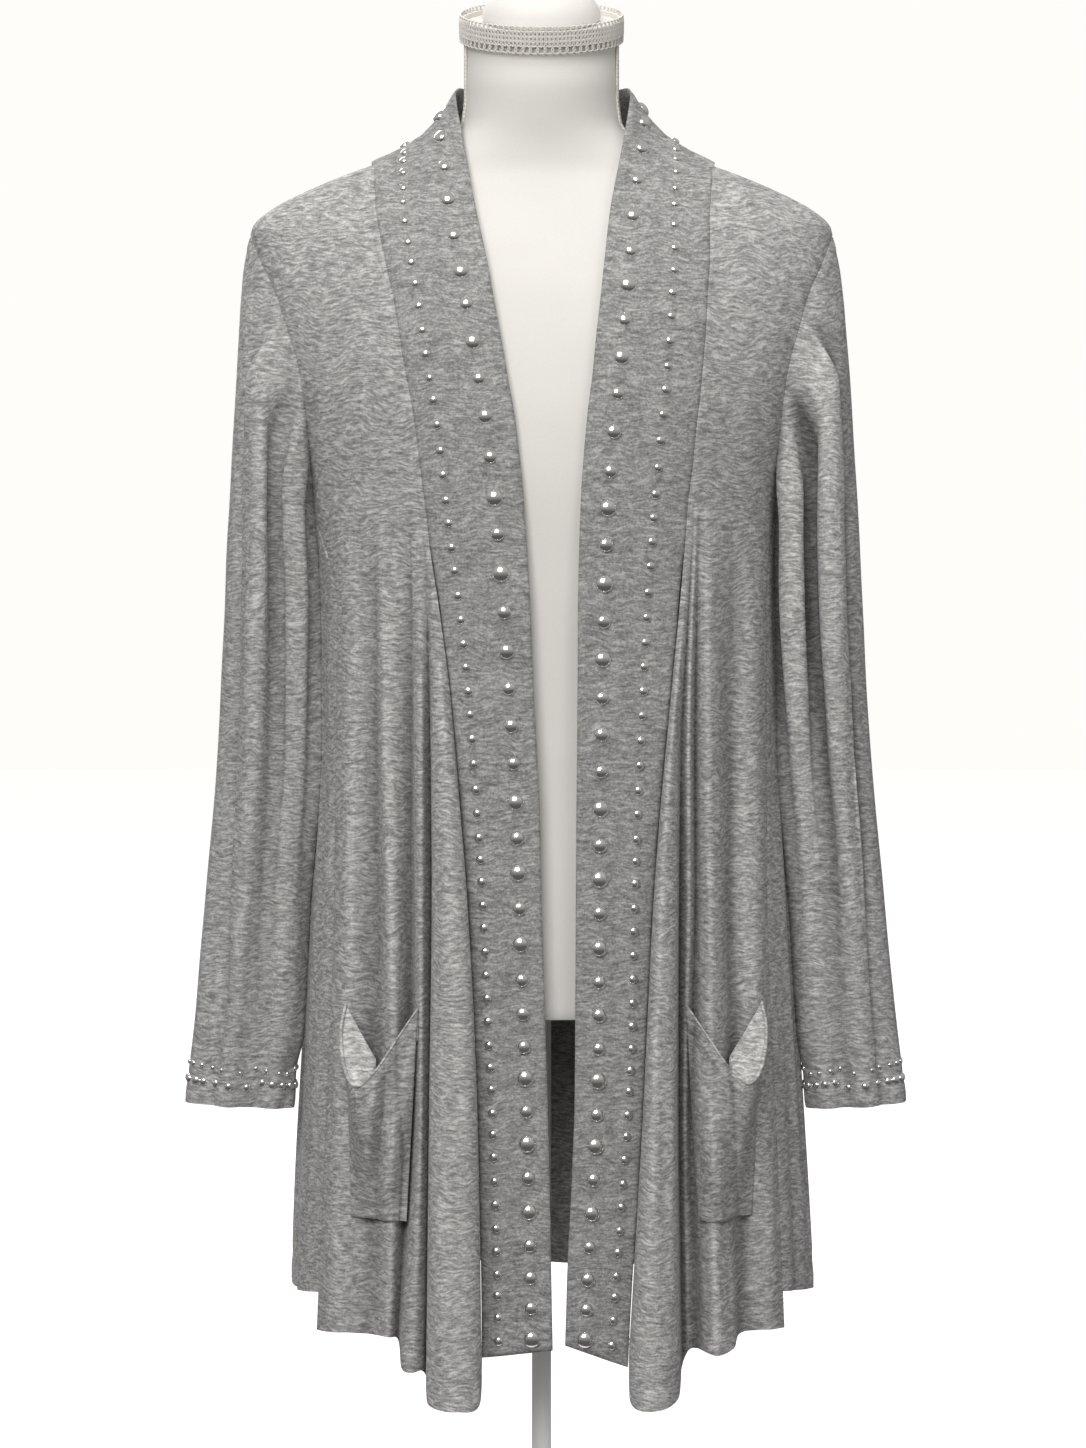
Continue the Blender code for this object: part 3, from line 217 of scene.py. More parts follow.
# Soft folds of the back, placed from the right side seam (0) to the left one (1).
BACK_FOLDS = (
    # name     place width waist  hem
    ("side_r", 0.10, 0.045, -1.0, -3.0),
    ("fold_1", 0.21, 0.050, 3.0, 8.0),
    ("fold_2", 0.33, 0.040, -3.0, -7.0),
    ("fold_3", 0.44, 0.050, 3.5, 9.0),
    ("fold_4", 0.55, 0.045, -4.0, -8.0),
    ("fold_5", 0.66, 0.050, 3.0, 8.0),
    ("fold_6", 0.78, 0.045, -2.5, -6.0),
    ("side_l", 0.90, 0.045, 1.0, 3.0),
)
BACK_NECK = (
    # out      y      z
    (0.0, 84.0, 1010.0),
    (44.0, 78.0, 1012.5),
    (85.0, 55.0, 1018.5),
    (119.6, 2.0, 1026.2),
)

# Sleeves below the armhole: outline in the front view and in depth, out from the axis.
SLEEVE_RIGHT = (
    # z     outer   inner  front  back
    (930.0, 215.2, 176.0, -44.0, 42.0),
    (870.0, 218.3, 168.5, -60.0, 52.0),
    (814.0, 221.8, 164.5, -62.0, 50.0),
    (760.0, 225.0, 162.5, -59.0, 46.0),
    (715.0, 227.2, 160.5, -56.0, 42.0),
    (610.0, 232.8, 159.8, -48.0, 33.0),
    (500.0, 242.3, 171.0, -42.0, 22.0),
    (420.0, 249.3, 176.0, -39.0, 10.0),
    (345.0, 257.8, 180.2, -36.0, 2.0),
)
SLEEVE_LEFT = (
    # z     outer   inner  front  back
    (930.0, 216.4, 180.0, -44.0, 42.0),
    (870.0, 220.8, 172.5, -60.0, 52.0),
    (814.0, 224.8, 169.5, -62.0, 50.0),
    (760.0, 228.3, 169.0, -59.0, 46.0),
    (715.0, 230.4, 169.3, -56.0, 42.0),
    (610.0, 237.4, 170.6, -48.0, 33.0),
    (500.0, 247.2, 181.0, -42.0, 22.0),
    (420.0, 255.0, 187.0, -39.0, 10.0),
    (345.0, 263.4, 192.5, -36.0, 2.0),
)
# Vertical folds of a sleeve across its width, 0 outside to 1 inside.
SLEEVE_FOLDS = (
    # name        place  front  back
    ("outer", 0.00, 0.0, 0.0),
    ("crease", 0.27, -9.0, 3.0),
    ("ridge_1", 0.40, 3.0, -5.0),
    ("valley", 0.66, -11.0, 4.0),
    ("ridge_2", 0.86, 3.0, 1.0),
    ("inner", 1.00, 0.0, 0.0),
)

# Pockets: side edges on the front, and the sagging rim between them.
POCKET_SIDES = (
    # side    z_top  z_bottom  in_top in_bottom out_top out_bottom
    ("right", 430.0, 279.0, 86.5, 95.0, 138.4, 134.6),
    ("left", 431.0, 280.0, 101.5, 110.5, 156.0, 149.0),
)
POCKET_RIM = (
    # place from the outer edge, share of the width, drop, out
    # name       place  across  drop  out
    ("corner_out", 0.00, 0.00, 0.0, 2.6),
    ("lip_high", 0.12, -0.07, 20.0, 12.0),
    ("lip_low", 0.26, -0.01, 44.0, 22.0),
    ("lowest", 0.40, 0.17, 54.0, 26.0),
    ("vee", 0.60, 0.45, 42.0, 20.0),
    ("rise", 0.80, 0.72, 22.0, 11.0),
    ("corner_in", 1.00, 1.00, 0.0, 2.6),
)

# The dress form: a superellipse at each height, with its middle moved forward by lean.
FORM = (
    # name          z    half  lean front  back power
    ("neck_high", 1083.0, 55.2, -4.2, 52.5, 56.0, 2.0),
    ("neck_mid", 1075.0, 55.2, -2.0, 54.5, 55.2, 2.0),
    ("neck_low", 1056.0, 57.5, 0.0, 53.0, 58.0, 2.0),
    ("neck_root", 1041.0, 71.0, 1.0, 51.0, 61.0, 2.05),
    ("slope_high", 1024.0, 101.0, 0.0, 49.0, 60.0, 2.10),
    ("slope_mid", 1005.0, 144.0, 0.0, 56.0, 64.0, 2.15),
    ("slope_low", 986.0, 179.0, 0.0, 65.5, 72.0, 2.25),
    ("shoulder", 962.0, 194.0, 0.5, 78.0, 85.0, 2.35),
    ("arm_high", 930.0, 190.0, 0.0, 91.5, 91.0, 2.35),
    ("arm_mid", 885.0, 177.0, 0.0, 103.5, 93.0, 2.30),
    ("arm_low", 840.0, 163.0, 0.0, 110.5, 91.0, 2.25),
    ("bust", 800.0, 153.0, 0.0, 113.0, 87.0, 2.20),
    ("under_bust", 730.0, 139.0, 0.0, 110.0, 81.0, 2.15),
    ("waist", 650.0, 126.0, 0.0, 107.5, 79.0, 2.10),
    ("high_hip", 560.0, 140.0, 0.0, 107.0, 91.0, 2.10),
    ("hip", 480.0, 154.0, 0.0, 107.0, 102.0, 2.10),
    ("bottom", 420.5, 155.0, 0.0, 106.5, 103.0, 2.10),
)

# grid densities
PANEL_ROWS = 21
FRONT_FINE = 6              # fold lines from the side seam on with a column between them
BACK_COLS = 23
BAND_ACROSS = 3
SLEEVE_ROWS, SLEEVE_ROUND = 15, 22
POCKET_ROWS, POCKET_COLS = 8, 11
FORM_ROUND = 28

SIDES = {"right": -1.0, "left": 1.0}


# ---------------------------------------------------------------- small curves
def follow(at, knots, values):
    """Smooth curve through the knots, which never swings past them."""
    at = np.asarray(at, float)
    k = np.asarray(knots, float)
    v = np.asarray(values, float)
    if k[0] > k[-1]:
        k, v = k[::-1], v[::-1]
    h = np.diff(k)
    slope = np.diff(v) / h
    m = np.zeros_like(v)
    both = slope[:-1] * slope[1:] > 0
    total = np.where(both, slope[:-1] + slope[1:], 1.0)
    m[1:-1] = np.where(both, 2 * slope[:-1] * slope[1:] / total, 0.0)
    m[0], m[-1] = slope[0], slope[-1]
    i = np.clip(np.searchsorted(k, at) - 1, 0, len(k) - 2)
    t = np.clip((at - k[i]) / h[i], 0.0, 1.0)
    t2, t3 = t * t, t * t * t
    return (
        (2 * t3 - 3 * t2 + 1) * v[i]
        + (t3 - 2 * t2 + t) * h[i] * m[i]
        + (-2 * t3 + 3 * t2) * v[i + 1]
        + (t3 - t2) * h[i] * m[i + 1]
    )


def through(values, at):
    """Catmull-Rom curve through a list of values, read at line numbers."""
    v = np.asarray(values, float)
    ext = np.concatenate([[2 * v[0] - v[1]], v, [2 * v[-1] - v[-2]]])
    at = np.clip(np.asarray(at, float), 0, len(v) - 1)
    i = np.minimum(at.astype(int), len(v) - 2)
    t = at - i
    a, b, c, d = ext[i], ext[i + 1], ext[i + 2], ext[i + 3]
    return 0.5 * (
        2 * b + (c - a) * t + (2 * a - 5 * b + 4 * c - d) * t**2 + (3 * b - a - 3 * c + d) * t**3
    )


def column(table, index):
    return [row[index] for row in table]


def ramp(x):
    x = np.clip(x, 0.0, 1.0)
    return x * x * (3 - 2 * x)


# ---------------------------------------------------------------- the body
def body_at(z):
    """half width, shift, front, back and power of the body section at height z (metres)."""
    z_mm = np.asarray(z, float) / MM
    zs = column(BODY, 1)
    half, shift, front, back = (follow(z_mm, zs, column(BODY, i)) * MM for i in (2, 3, 4, 5))
    return half, shift, front, back, follow(z_mm, zs, column(BODY, 6))


def body_y(x, z, face):
    """y of the unfolded body at (x, z); face is "front" or "back"."""
    half, shift, front, back, power = body_at(z)
    r = np.clip(np.abs(x - shift) / half, 0.0, 1.0)
    arc = np.maximum(1 - r**power, 0.0) ** (1 / power)
    return -front * arc if face == "front" else back * arc


def clear_of_body(points, clearance):
    """Points moved out, level, until they are this far outside the body."""
    out = points.copy()
    half, shift, front, back, power = body_at(points[..., 2])
    dx = points[..., 0] - shift
    depth = np.where(points[..., 1] < 0, front, back)
    f = ((np.abs(dx) / half) ** power + (np.abs(points[..., 1]) / depth) ** power) ** (1 / power)
    want = 1 + clearance / np.minimum(half, depth * 1.5)
    k = np.maximum(want / np.maximum(f, 1e-6), 1.0)
    out[..., 0] = shift + dx * k
    out[..., 1] = points[..., 1] * k
    return out


def shoulder_seam_z(x_abs):
    """Height of the shoulder seam over a distance from the axis."""
    rows = [r for r in BODY if r[1] >= 976.0]
    xs = [r[2] for r in rows]
    zs = [r[1] for r in rows]
    xs[-1], zs[-1] = SHOULDER_X / MM, SHOULDER_Z / MM
    return follow(np.asarray(x_abs) / MM, xs, zs) * MM


def band_rows(side):
    return BAND_RIGHT if side == "right" else BAND_LEFT


def band_hem(side):
    return next((r[1] * MM, r[2] * MM) for r in BAND_HEM if r[0] == side)


def seam_out(side, z):
    """Distance from the axis of the seam between front and band."""
    rows = band_rows(side)
    neck = [r for r in NECK if r[0] in ("shoulder", "neck_side", "neck_front", "collar_bone", "chest_top")]
    grow = 0.0 if side == "right" else 1.0
    zs = [r[3] for r in neck] + [r[0] for r in rows]
    xs = [r[1] + grow * NECK_WIDER_LEFT for r in neck] + [r[1] for r in rows]
    return follow(np.asarray(z) / MM, zs, xs) * MM


def seam_top(side):
    """Where the shoulder seam meets the band: distance from the axis."""
    return float(seam_out(side, NECK_SEAM_Z))


# ---------------------------------------------------------------- fronts
def fold_table(side):
    return FOLDS_RIGHT if side == "right" else FOLDS_LEFT


def side_edge_out(side, z):
    """Distance from the axis of a front's outer edge: armhole, then side seam."""
    z = np.asarray(z, float)
    _, shift, _, _, _ = body_at(z)
    arm = follow(z / MM, column(ARMHOLE, 0), column(ARMHOLE, 1)) * MM + SIDES[side] * shift
    seam = follow(z / MM, column(SIDE_SEAM, 0), column(SIDE_SEAM, 1 if side == "right" else 2)) * MM
    return np.where(z >= UNDERARM_Z, arm, seam)


def front_lines(side, z):
    """(out, proud) of every fold line of a front at heights z, one column for each line."""
    table = fold_table(side)
    z = np.asarray(z, float)
    outs, prouds = [], []
    for row in table:
        share = row[1]
        edge = side_edge_out(side, np.minimum(z, SHOULDER_Z))
        seam = seam_out(side, z)
        top_x = SHOULDER_X + (seam_top(side) - SHOULDER_X) * share
        top_z = float(shoulder_seam_z(top_x))
        chest = edge + (seam - edge) * share
        t = np.clip((z - 0.925) / (top_z - 0.925), 0, 1) ** 1.35
        if 0 < share < 1:
            chest = chest * (1 - t) + top_x * t
        hem_z = row[12]
        bust = float(side_edge_out(side, 0.80) + (seam_out(side, 0.80) - side_edge_out(side, 0.80)) * share)
        hang = follow(z / MM, [800.0, *FOLD_Z, hem_z], [bust / MM, *row[2:7]]) * MM
        w = ramp((0.80 - z) / 0.05)
        line = chest * (1 - w) + hang * w
        if share == 0:
            line = side_edge_out(side, z)
        if share == 1:
            line = seam
        outs.append(line)
        prouds.append(follow(z / MM, [800.0, 765.0, *FOLD_Z, hem_z], [0.0, 0.1 * row[7], *row[7:12]]) * MM)
    return np.stack(outs, -1), np.stack(prouds, -1)


def front_point(side, u, z, edge_gap=GAP / 2):
    """Middle surface of a front: u counts fold lines, z is the height. Arrays of one shape."""
    u = np.asarray(u, float)
    z = np.asarray(z, float)
    out, proud = front_lines(side, z)
    n = out.shape[-1]
    last = ramp((0.785 - z) / 0.06)
    out[..., 0] -= edge_gap
    out[..., -1] += 2 * edge_gap + last * 1.0 * MM
    out[..., -2] = np.maximum(out[..., -2], out[..., -1] + 0.3 * MM)
    flat_u = u.reshape(-1)
    x = np.array([float(through(o, s)) for o, s in zip(out.reshape(-1, n), flat_u)]).reshape(u.shape)
    d = np.array([float(through(p, s)) for p, s in zip(proud.reshape(-1, n), flat_u)]).reshape(u.shape)
    x = SIDES[side] * x
    y = np.minimum(body_y(x, z, "front") - d, -0.45 * MM)
    return np.stack([x, y, z], -1)


def front_heights(side, u, v):
    """Height of the front at line u and share v down from the shoulder seam to just above the hem."""
    table = fold_table(side)
    share = through(column(table, 1), u)
    top_x = SHOULDER_X + (seam_top(side) - SHOULDER_X) * np.clip(share, 0, 1)
    top = shoulder_seam_z(top_x)
    hem = through(column(table, 12), u) * MM
    low = hem + SIDE_HEM_Z - table[0][12] * MM
    return np.where(v > 1, hem, top + (low - top) * np.minimum(v, 1))


def row_shares(count):
    """Rows close together on the shoulder, wider below."""
    return np.linspace(0, 1, count) ** 1.62


def front_grid(side, rows):
    """Rows match the back's along the side seam; one more row reaches the longer hem."""
    lines = len(fold_table(side))
    u = np.concatenate([np.arange(0, FRONT_FINE, 0.5), np.arange(FRONT_FINE, lines)])
    v = np.append(row_shares(rows), 2.0)
    uu, vv = np.meshgrid(u, v)
    return front_point(side, uu, front_heights(side, uu, vv))


# ---------------------------------------------------------------- back
def back_fold(s, z):
    down = ramp((0.78 - z) / 0.25)
    low = ramp((0.62 - z) / 0.42)
    total = np.zeros_like(s)
    for _, place, width, waist, hem in BACK_FOLDS:
        bump = np.exp(-(((s - place) / width) ** 2))
        total += bump * (waist * down * (1 - low) + hem * low) * MM
    return total


def back_grid(rows, cols):
    """The back, from the right side seam round the back to the left one."""
    s = np.linspace(0, 1, cols)
    v = row_shares(rows)
    grid = np.zeros((rows, cols, 3))
    neck_s = 0.315            # the neckline covers this much either side of the middle
    for j, sj in enumerate(s):
        side = "right" if sj < 0.5 else "left"
        sign = SIDES[side]
        t = abs(sj - 0.5) * 2            # 0 centre back, 1 edge
        # top edge: neckline, then shoulder seam
        if t <= neck_s * 2:
            out = seam_top(side) * t / (neck_s * 2)
            place = out / seam_top(side) * BACK_NECK[-1][0]
            top = (sign * out, follow(place, column(BACK_NECK, 0), column(BACK_NECK, 1)) * MM,
                   follow(place, column(BACK_NECK, 0), column(BACK_NECK, 2)) * MM - GAP)
        else:
            q = (t - neck_s * 2) / (1 - neck_s * 2)
            out = seam_top(side) + (SHOULDER_X - seam_top(side)) * q
            top = (sign * out, 0.45 * MM, float(shoulder_seam_z(out)))
        hem_z = BACK_HEM_Z + (SIDE_HEM_Z - BACK_HEM_Z) * t**3
        z = top[2] + (hem_z - top[2]) * v
        half, shift, front, back, power = body_at(np.clip(z, 0.14, NECK_SEAM_Z))
        # level line round the body at each height, by angle from the edge
        zc = np.clip(z, 0.14, None)
        edge_out = np.where(
            z >= UNDERARM_Z,
            side_edge_out(side, np.minimum(z, SHOULDER_Z)),
            side_edge_out(side, z),
        ) + GAP * np.where(z < UNDERARM_Z, 0.75, -1.0)
        edge_x = sign * edge_out
        r = np.clip(np.abs(edge_x - shift) / half, 0, 1)
        angle = np.arccos(r ** (power / 2))
        front_edge = z < UNDERARM_Z
        angle = np.where(front_edge, -angle, angle)        # the seam lies in front below the underarm
        a = angle + (math.pi / 2 - angle) * (1 - t)
        x = shift + sign * half * np.sign(np.cos(a)) * np.abs(np.cos(a)) ** (2 / power)
        depth = np.where(a >= 0, back, front)
        y = np.sign(a) * depth * np.abs(np.sin(a)) ** (2 / power)
        # near the top each column runs on to its own point of the seam
        w = ramp((z - 0.900) / max(top[2] - 0.900, 1e-6))
        last = int(np.flatnonzero(z < 0.900)[0])
        keep = x[last] / edge_x[last]
        x_top = keep * edge_x + w * (top[0] - keep * edge_x[0])
        x_line = np.where(z >= 0.900, x_top, x)
        z_in = np.clip(z, None, NECK_SEAM_Z)
        y_line = np.where(z >= 0.900, body_y(x_line, z_in, "back"), y)
        reach = 0.06 if t <= neck_s * 2 else 0.004
        near = ramp((z - (top[2] - reach)) / reach)
        y_line = y_line + near * (top[1] - y_line[0])
        y_line = np.where(z >= UNDERARM_Z, np.maximum(y_line, 0.45 * MM), y_line)
        fold = back_fold(np.full_like(z, sj), z)
        nx, ny = x_line - shift, y_line
        length = np.hypot(nx, ny) + 1e-9
        grid[:, j, 0] = x_line + nx / length * fold
        grid[:, j, 1] = y_line + ny / length * fold
        grid[:, j, 2] = z
    return grid


# ---------------------------------------------------------------- bands
def band_grid(side, across):
    """The band from its hem up the front and round the neck to the centre back."""
    sign = SIDES[side]
    rows = []
    seam_hem, free_hem = band_hem(side)
    steps = np.linspace(0, 1, across + 1)
    grow = 0.0 if side == "right" else 1.0

    def on_front(zs, zf, seam_x, free_x):
        edge = seam_x - GAP / 2
        w = steps
        out = edge + (free_x - edge) * w
        z = zs + (zf - zs) * w
        x = sign * out
        return np.stack([x, body_y(x, z, "front"), z], -1)

    table = list(band_rows(side))[::-1]
    free_at = lambda z: follow(z / MM, column(band_rows(side), 0), column(band_rows(side), 2)) * MM
    heights = [r[0] * MM for r in table]
    for k, z in enumerate(heights):
        zs, zf = (seam_hem, free_hem) if k == 0 else (z, z)
        rows.append(on_front(zs, zf, float(seam_out(side, zs)), float(free_at(zf))))
        if k + 1 < len(heights) and heights[k + 1] - z > 0.045:
            m = 0.5 * (z + heights[k + 1])
            rows.append(on_front(m, m, float(seam_out(side, m)), float(free_at(m))))
    for _, so, sy, sz, fo, fy, fz, dish, hug in NECK[::-1]:
        behind = sy > 10.0
        wider = grow * NECK_WIDER_LEFT if fo > 5 else 0.0
        seam_x = (so + wider) * MM if behind else float(seam_out(side, sz * MM)) - GAP / 2
        seam = np.array([sign * seam_x, sy * MM if behind else float(body_y(sign * seam_x, sz * MM, "front")), sz * MM])
        if sy > 1.0:
            seam[1] = sy * MM
            seam[2] += 2.2 * MM
        free = np.array([sign * (fo + wider) * MM, fy * MM, fz * MM])
        line = seam[None] + (free - seam)[None] * steps[:, None]
        # the width dips towards the neck's root
        down = np.array([-seam[0], -seam[1], -0.9 * abs(np.hypot(seam[0], seam[1]))])
        down /= np.linalg.norm(down)
        line += (4 * steps * (1 - steps))[:, None] * down[None] * dish * MM
        if hug:
            z_in = np.minimum(line[:, 2], NECK_SEAM_Z)
            line[:, 1] = line[:, 1] * (1 - hug) + body_y(line[:, 0], z_in, "front") * hug
        rows.append(line)
    return np.array(rows)


# ---------------------------------------------------------------- sleeves
def armhole_loop(side, count):
    """Armhole from the shoulder point down the front and up the back, with the way out of it."""
    sign = SIDES[side]
    zs = np.concatenate([np.linspace(SHOULDER_Z, UNDERARM_Z, 200)])
    out = side_edge_out(side, np.maximum(zs, UNDERARM_Z))
    halves = []
    for face in ("front", "back"):
        y = body_y(sign * out, zs, face)
        y[0] = 0.0
        y[-1] = 0.0
        halves.append(np.stack([sign * out, y, zs], -1))
    loop = np.concatenate([halves[0], halves[1][::-1][1:-1]])
    step = np.linalg.norm(np.diff(np.vstack([loop, loop[:1]]), axis=0), axis=1)
    length = np.concatenate([[0], np.cumsum(step)])
    half_way = length[len(halves[0]) - 1]
    t = np.arange(count) / count
    at = np.where(t <= 0.5, t * 2 * half_way, half_way + (t - 0.5) * 2 * (length[-1] - half_way))
    closed = np.vstack([loop, loop[:1]])
    ring = np.stack([np.interp(at, length, closed[:, i]) for i in range(3)], -1)
    return ring, t * 2 * math.pi


def sleeve_ring(side, phi, z):
    """One level ring of the hanging sleeve; phi 0 is outside, pi/2 the front, pi inside."""
    sign = SIDES[side]
    rows = SLEEVE_RIGHT if side == "right" else SLEEVE_LEFT
    outer, inner, front, back = (
        follow(np.asarray(z) / MM, column(rows, 0), column(rows, i)) * MM for i in (1, 2, 3, 4)
    )
    place = (1 - np.cos(phi)) / 2
    places = column(SLEEVE_FOLDS, 1)
    folds = np.where(
        np.sin(phi) >= 0,
        follow(place, places, column(SLEEVE_FOLDS, 2)),
        follow(place, places, column(SLEEVE_FOLDS, 3)),
    ) * MM
    depth = (back - front) / 2
    grow = ramp((0.90 - z) / 0.12) * np.clip(depth / 0.050, 0.45, 1.0)
    middle = (back + front) / 2
    bend = np.sign(np.sin(phi)) * np.abs(np.sin(phi)) ** 0.85
    y = middle - bend * depth - np.where(np.sin(phi) >= 0, 1, -1) * folds * grow
    x = sign * (outer + (inner - outer) * place)
    return np.stack([x, y, np.broadcast_to(z, np.shape(x))], -1)


def sleeve_grid(side, rows, count):
    sign = SIDES[side]
    ring, phi = armhole_loop(side, count)
    place = (1 - np.cos(phi)) / 2
    # start a hair outside the armhole
    away = np.stack([sign * np.ones(count), -0.9 * np.sin(phi), -0.55 * np.cos(phi) - 0.1], -1)
    away[:, 1] *= -0.6                       # the cap leans back over the body's side
    away /= np.linalg.norm(away, axis=1)[:, None]
    start = ring + away * (1.4 * MM)
    join_z = 0.925 - 0.185 * place           # where each line becomes a plain hanging one
    end = sleeve_ring(side, phi, join_z)
    end = clear_of_body(end, 4.2 * MM)
    below = sleeve_ring(side, phi, join_z - 0.02)
    below = clear_of_body(below, 4.2 * MM)
    fall = (below - end) / 0.02
    lead = 0.022 + 0.020 * np.abs(np.sin(phi))
    drop = np.maximum(ring[:, 2] - join_z, 0.02)
    grid = np.zeros((rows, count, 3))
    cap_rows = max(5, rows * 6 // 17)
    for i in range(cap_rows):
        t = i / cap_rows
        t2, t3 = t * t, t * t * t
        grid[i] = (
            (2 * t3 - 3 * t2 + 1) * start
            + (t3 - 2 * t2 + t) * away * lead[:, None] * 1.6
            + (-2 * t3 + 3 * t2) * end
            + (t3 - t2) * fall * drop[:, None]
        )
    cuff = CUFF_Z + 0.004 * (1 - place)
    for i in range(cap_rows, rows):
        t = (i - cap_rows) / (rows - 1 - cap_rows)
        z = join_z + (cuff - join_z) * t
        grid[i] = clear_of_body(sleeve_ring(side, phi, z), 4.2 * MM)
    grid[1:cap_rows] = clear_of_body(grid[1:cap_rows], 2.5 * MM)
    return grid


# ---------------------------------------------------------------- pockets
def front_face_y(side, x, z):
    """y of the frontmost layer of a front at (x, z)."""
    lines = len(fold_table(side))
    u = np.linspace(0, lines - 1, 241)
    shape = np.shape(x)
    xs, zs = np.reshape(x, -1), np.reshape(z, -1)
    result = np.zeros(len(xs))
    for i, (xi, zi) in enumerate(zip(xs, zs)):
        p = front_point(side, u, np.full_like(u, zi))
        px, py = np.abs(p[:, 0]), p[:, 1]
        lo, hi = np.minimum(px[:-1], px[1:]), np.maximum(px[:-1], px[1:])
        hit = np.flatnonzero((lo <= abs(xi)) & (abs(xi) <= hi))
        t = (abs(xi) - px[hit]) / np.where(px[hit + 1] == px[hit], 1, px[hit + 1] - px[hit])
        result[i] = (py[hit] + t * (py[hit + 1] - py[hit])).min()
    return result.reshape(shape)


def pocket_grid(side, rows, cols, lift):
    """A patch laid on the front at its sides and bottom, whose rim sags open."""
    sign = SIDES[side]
    _, top, bottom, in_top, in_bottom, out_top, out_bottom = next(r for r in POCKET_SIDES if r[0] == side)
    p = np.linspace(0, 1, cols)
    q = np.linspace(0, 1, rows)
    places = column(POCKET_RIM, 1)
    across = follow(p, places, column(POCKET_RIM, 2))
    drop = follow(p, places, column(POCKET_RIM, 3))
    out = follow(p, places, column(POCKET_RIM, 4))
    grid = np.zeros((rows, cols, 3))
    for i, qi in enumerate(q):
        settle = (1 - qi) ** 1.4
        share = across * settle + p * (1 - settle)
        z = (top - drop) * (1 - qi) + bottom * qi
        down = (top - z) / (top - bottom)
        edge_out = out_top + (out_bottom - out_top) * down
        edge_in = in_top + (in_bottom - in_top) * down
        x = sign * (edge_out + (edge_in - edge_out) * share) * MM
        z = z * MM
        near = [front_face_y(side, x + dx * MM, z + dz * MM) for dx, dz in ((0, 0), (-4, 0), (4, 0), (0, 8), (0, -8))]
        face = np.min(near, axis=0)
        # over the valleys the patch is stretched from ridge to ridge
        chord = face[0] + (face[-1] - face[0]) * p
        face = np.minimum(face, chord)
        hang = (out - 2.6) * (1 - qi) ** 1.2 + 7.0 * np.sin(math.pi * p) * np.sin(math.pi * qi)
        grid[i] = np.stack([x, face - (lift + hang * MM), z], -1)
    return grid


# ---------------------------------------------------------------- meshes
def unit(v):
    return v / np.maximum(np.linalg.norm(v, axis=-1, keepdims=True), 1e-12)


def normals_of(grid, closed):
    """Normals halfway between the two sides of each bend, longer where the bend is sharp."""
    if closed:
        step = np.roll(grid, -1, 1) - grid
        before, after = np.roll(step, 1, 1), step
    else:
        step = np.diff(grid, axis=1)
        before = np.concatenate([step[:, :1], step], 1)
        after = np.concatenate([step, step[:, -1:]], 1)
    down = unit(np.gradient(grid, axis=0))
    before, after = (unit(s - np.sum(s * down, -1, keepdims=True) * down) for s in (before, after))
    n = unit(np.cross(unit(before + after), down))
    bend = np.clip(np.sum(before * after, -1, keepdims=True), -1, 1)
    return n * np.minimum(1 / np.sqrt(np.maximum((1 + bend) / 2, 1e-6)), 1.7)


def wall(grid, thickness, closed=False, flip=False):
    """Vertices and faces of a wall of even thickness round a grid's surface."""
    n = normals_of(grid, closed) * (-1 if flip else 1)
    rows, cols = grid.shape[:2]
    front = grid + n * thickness / 2
    back = grid - n * thickness / 2
    verts = np.concatenate([front.reshape(-1, 3), back.reshape(-1, 3)])
    off = rows * cols
    faces = []

    def quad(a, b, c, d):
        faces.append((a, b, c, d) if not flip else (d, c, b, a))

    def at(i, j, side=0):
        return side * off + i * cols + j % cols

    span = cols if closed else cols - 1
    for i in range(rows - 1):
        for j in range(span):
            quad(at(i, j), at(i, j + 1), at(i + 1, j + 1), at(i + 1, j))
            quad(at(i, j, 1), at(i + 1, j, 1), at(i + 1, j + 1, 1), at(i, j + 1, 1))
    for j in range(span):
        quad(at(0, j), at(0, j, 1), at(0, j + 1, 1), at(0, j + 1))
        quad(at(rows - 1, j), at(rows - 1, j + 1), at(rows - 1, j + 1, 1), at(rows - 1, j, 1))
    if not closed:
        for i in range(rows - 1):
            quad(at(i, 0), at(i + 1, 0), at(i + 1, 0, 1), at(i, 0, 1))
            quad(at(i, cols - 1), at(i, cols - 1, 1), at(i + 1, cols - 1, 1), at(i + 1, cols - 1))
    return verts, faces


def loft(rings):
    """Closed solid through level rings, with flat ends."""
    rings = np.asarray(rings)
    rows, cols = rings.shape[:2]
    verts = rings.reshape(-1, 3)
    faces = []
    for i in range(rows - 1):
        for j in range(cols):
            k = (j + 1) % cols
            faces.append((i * cols + j, i * cols + k, (i + 1) * cols + k, (i + 1) * cols + j))
    faces.append(tuple(range(cols))[::-1])
    faces.append(tuple((rows - 1) * cols + j for j in range(cols)))
    return verts, faces


def volume_of(verts, faces):
    total = 0.0
    for f in faces:
        a = verts[f[0]]
        for i in range(1, len(f) - 1):
            total += np.dot(a, np.cross(verts[f[i]], verts[f[i + 1]]))
    return total / 6


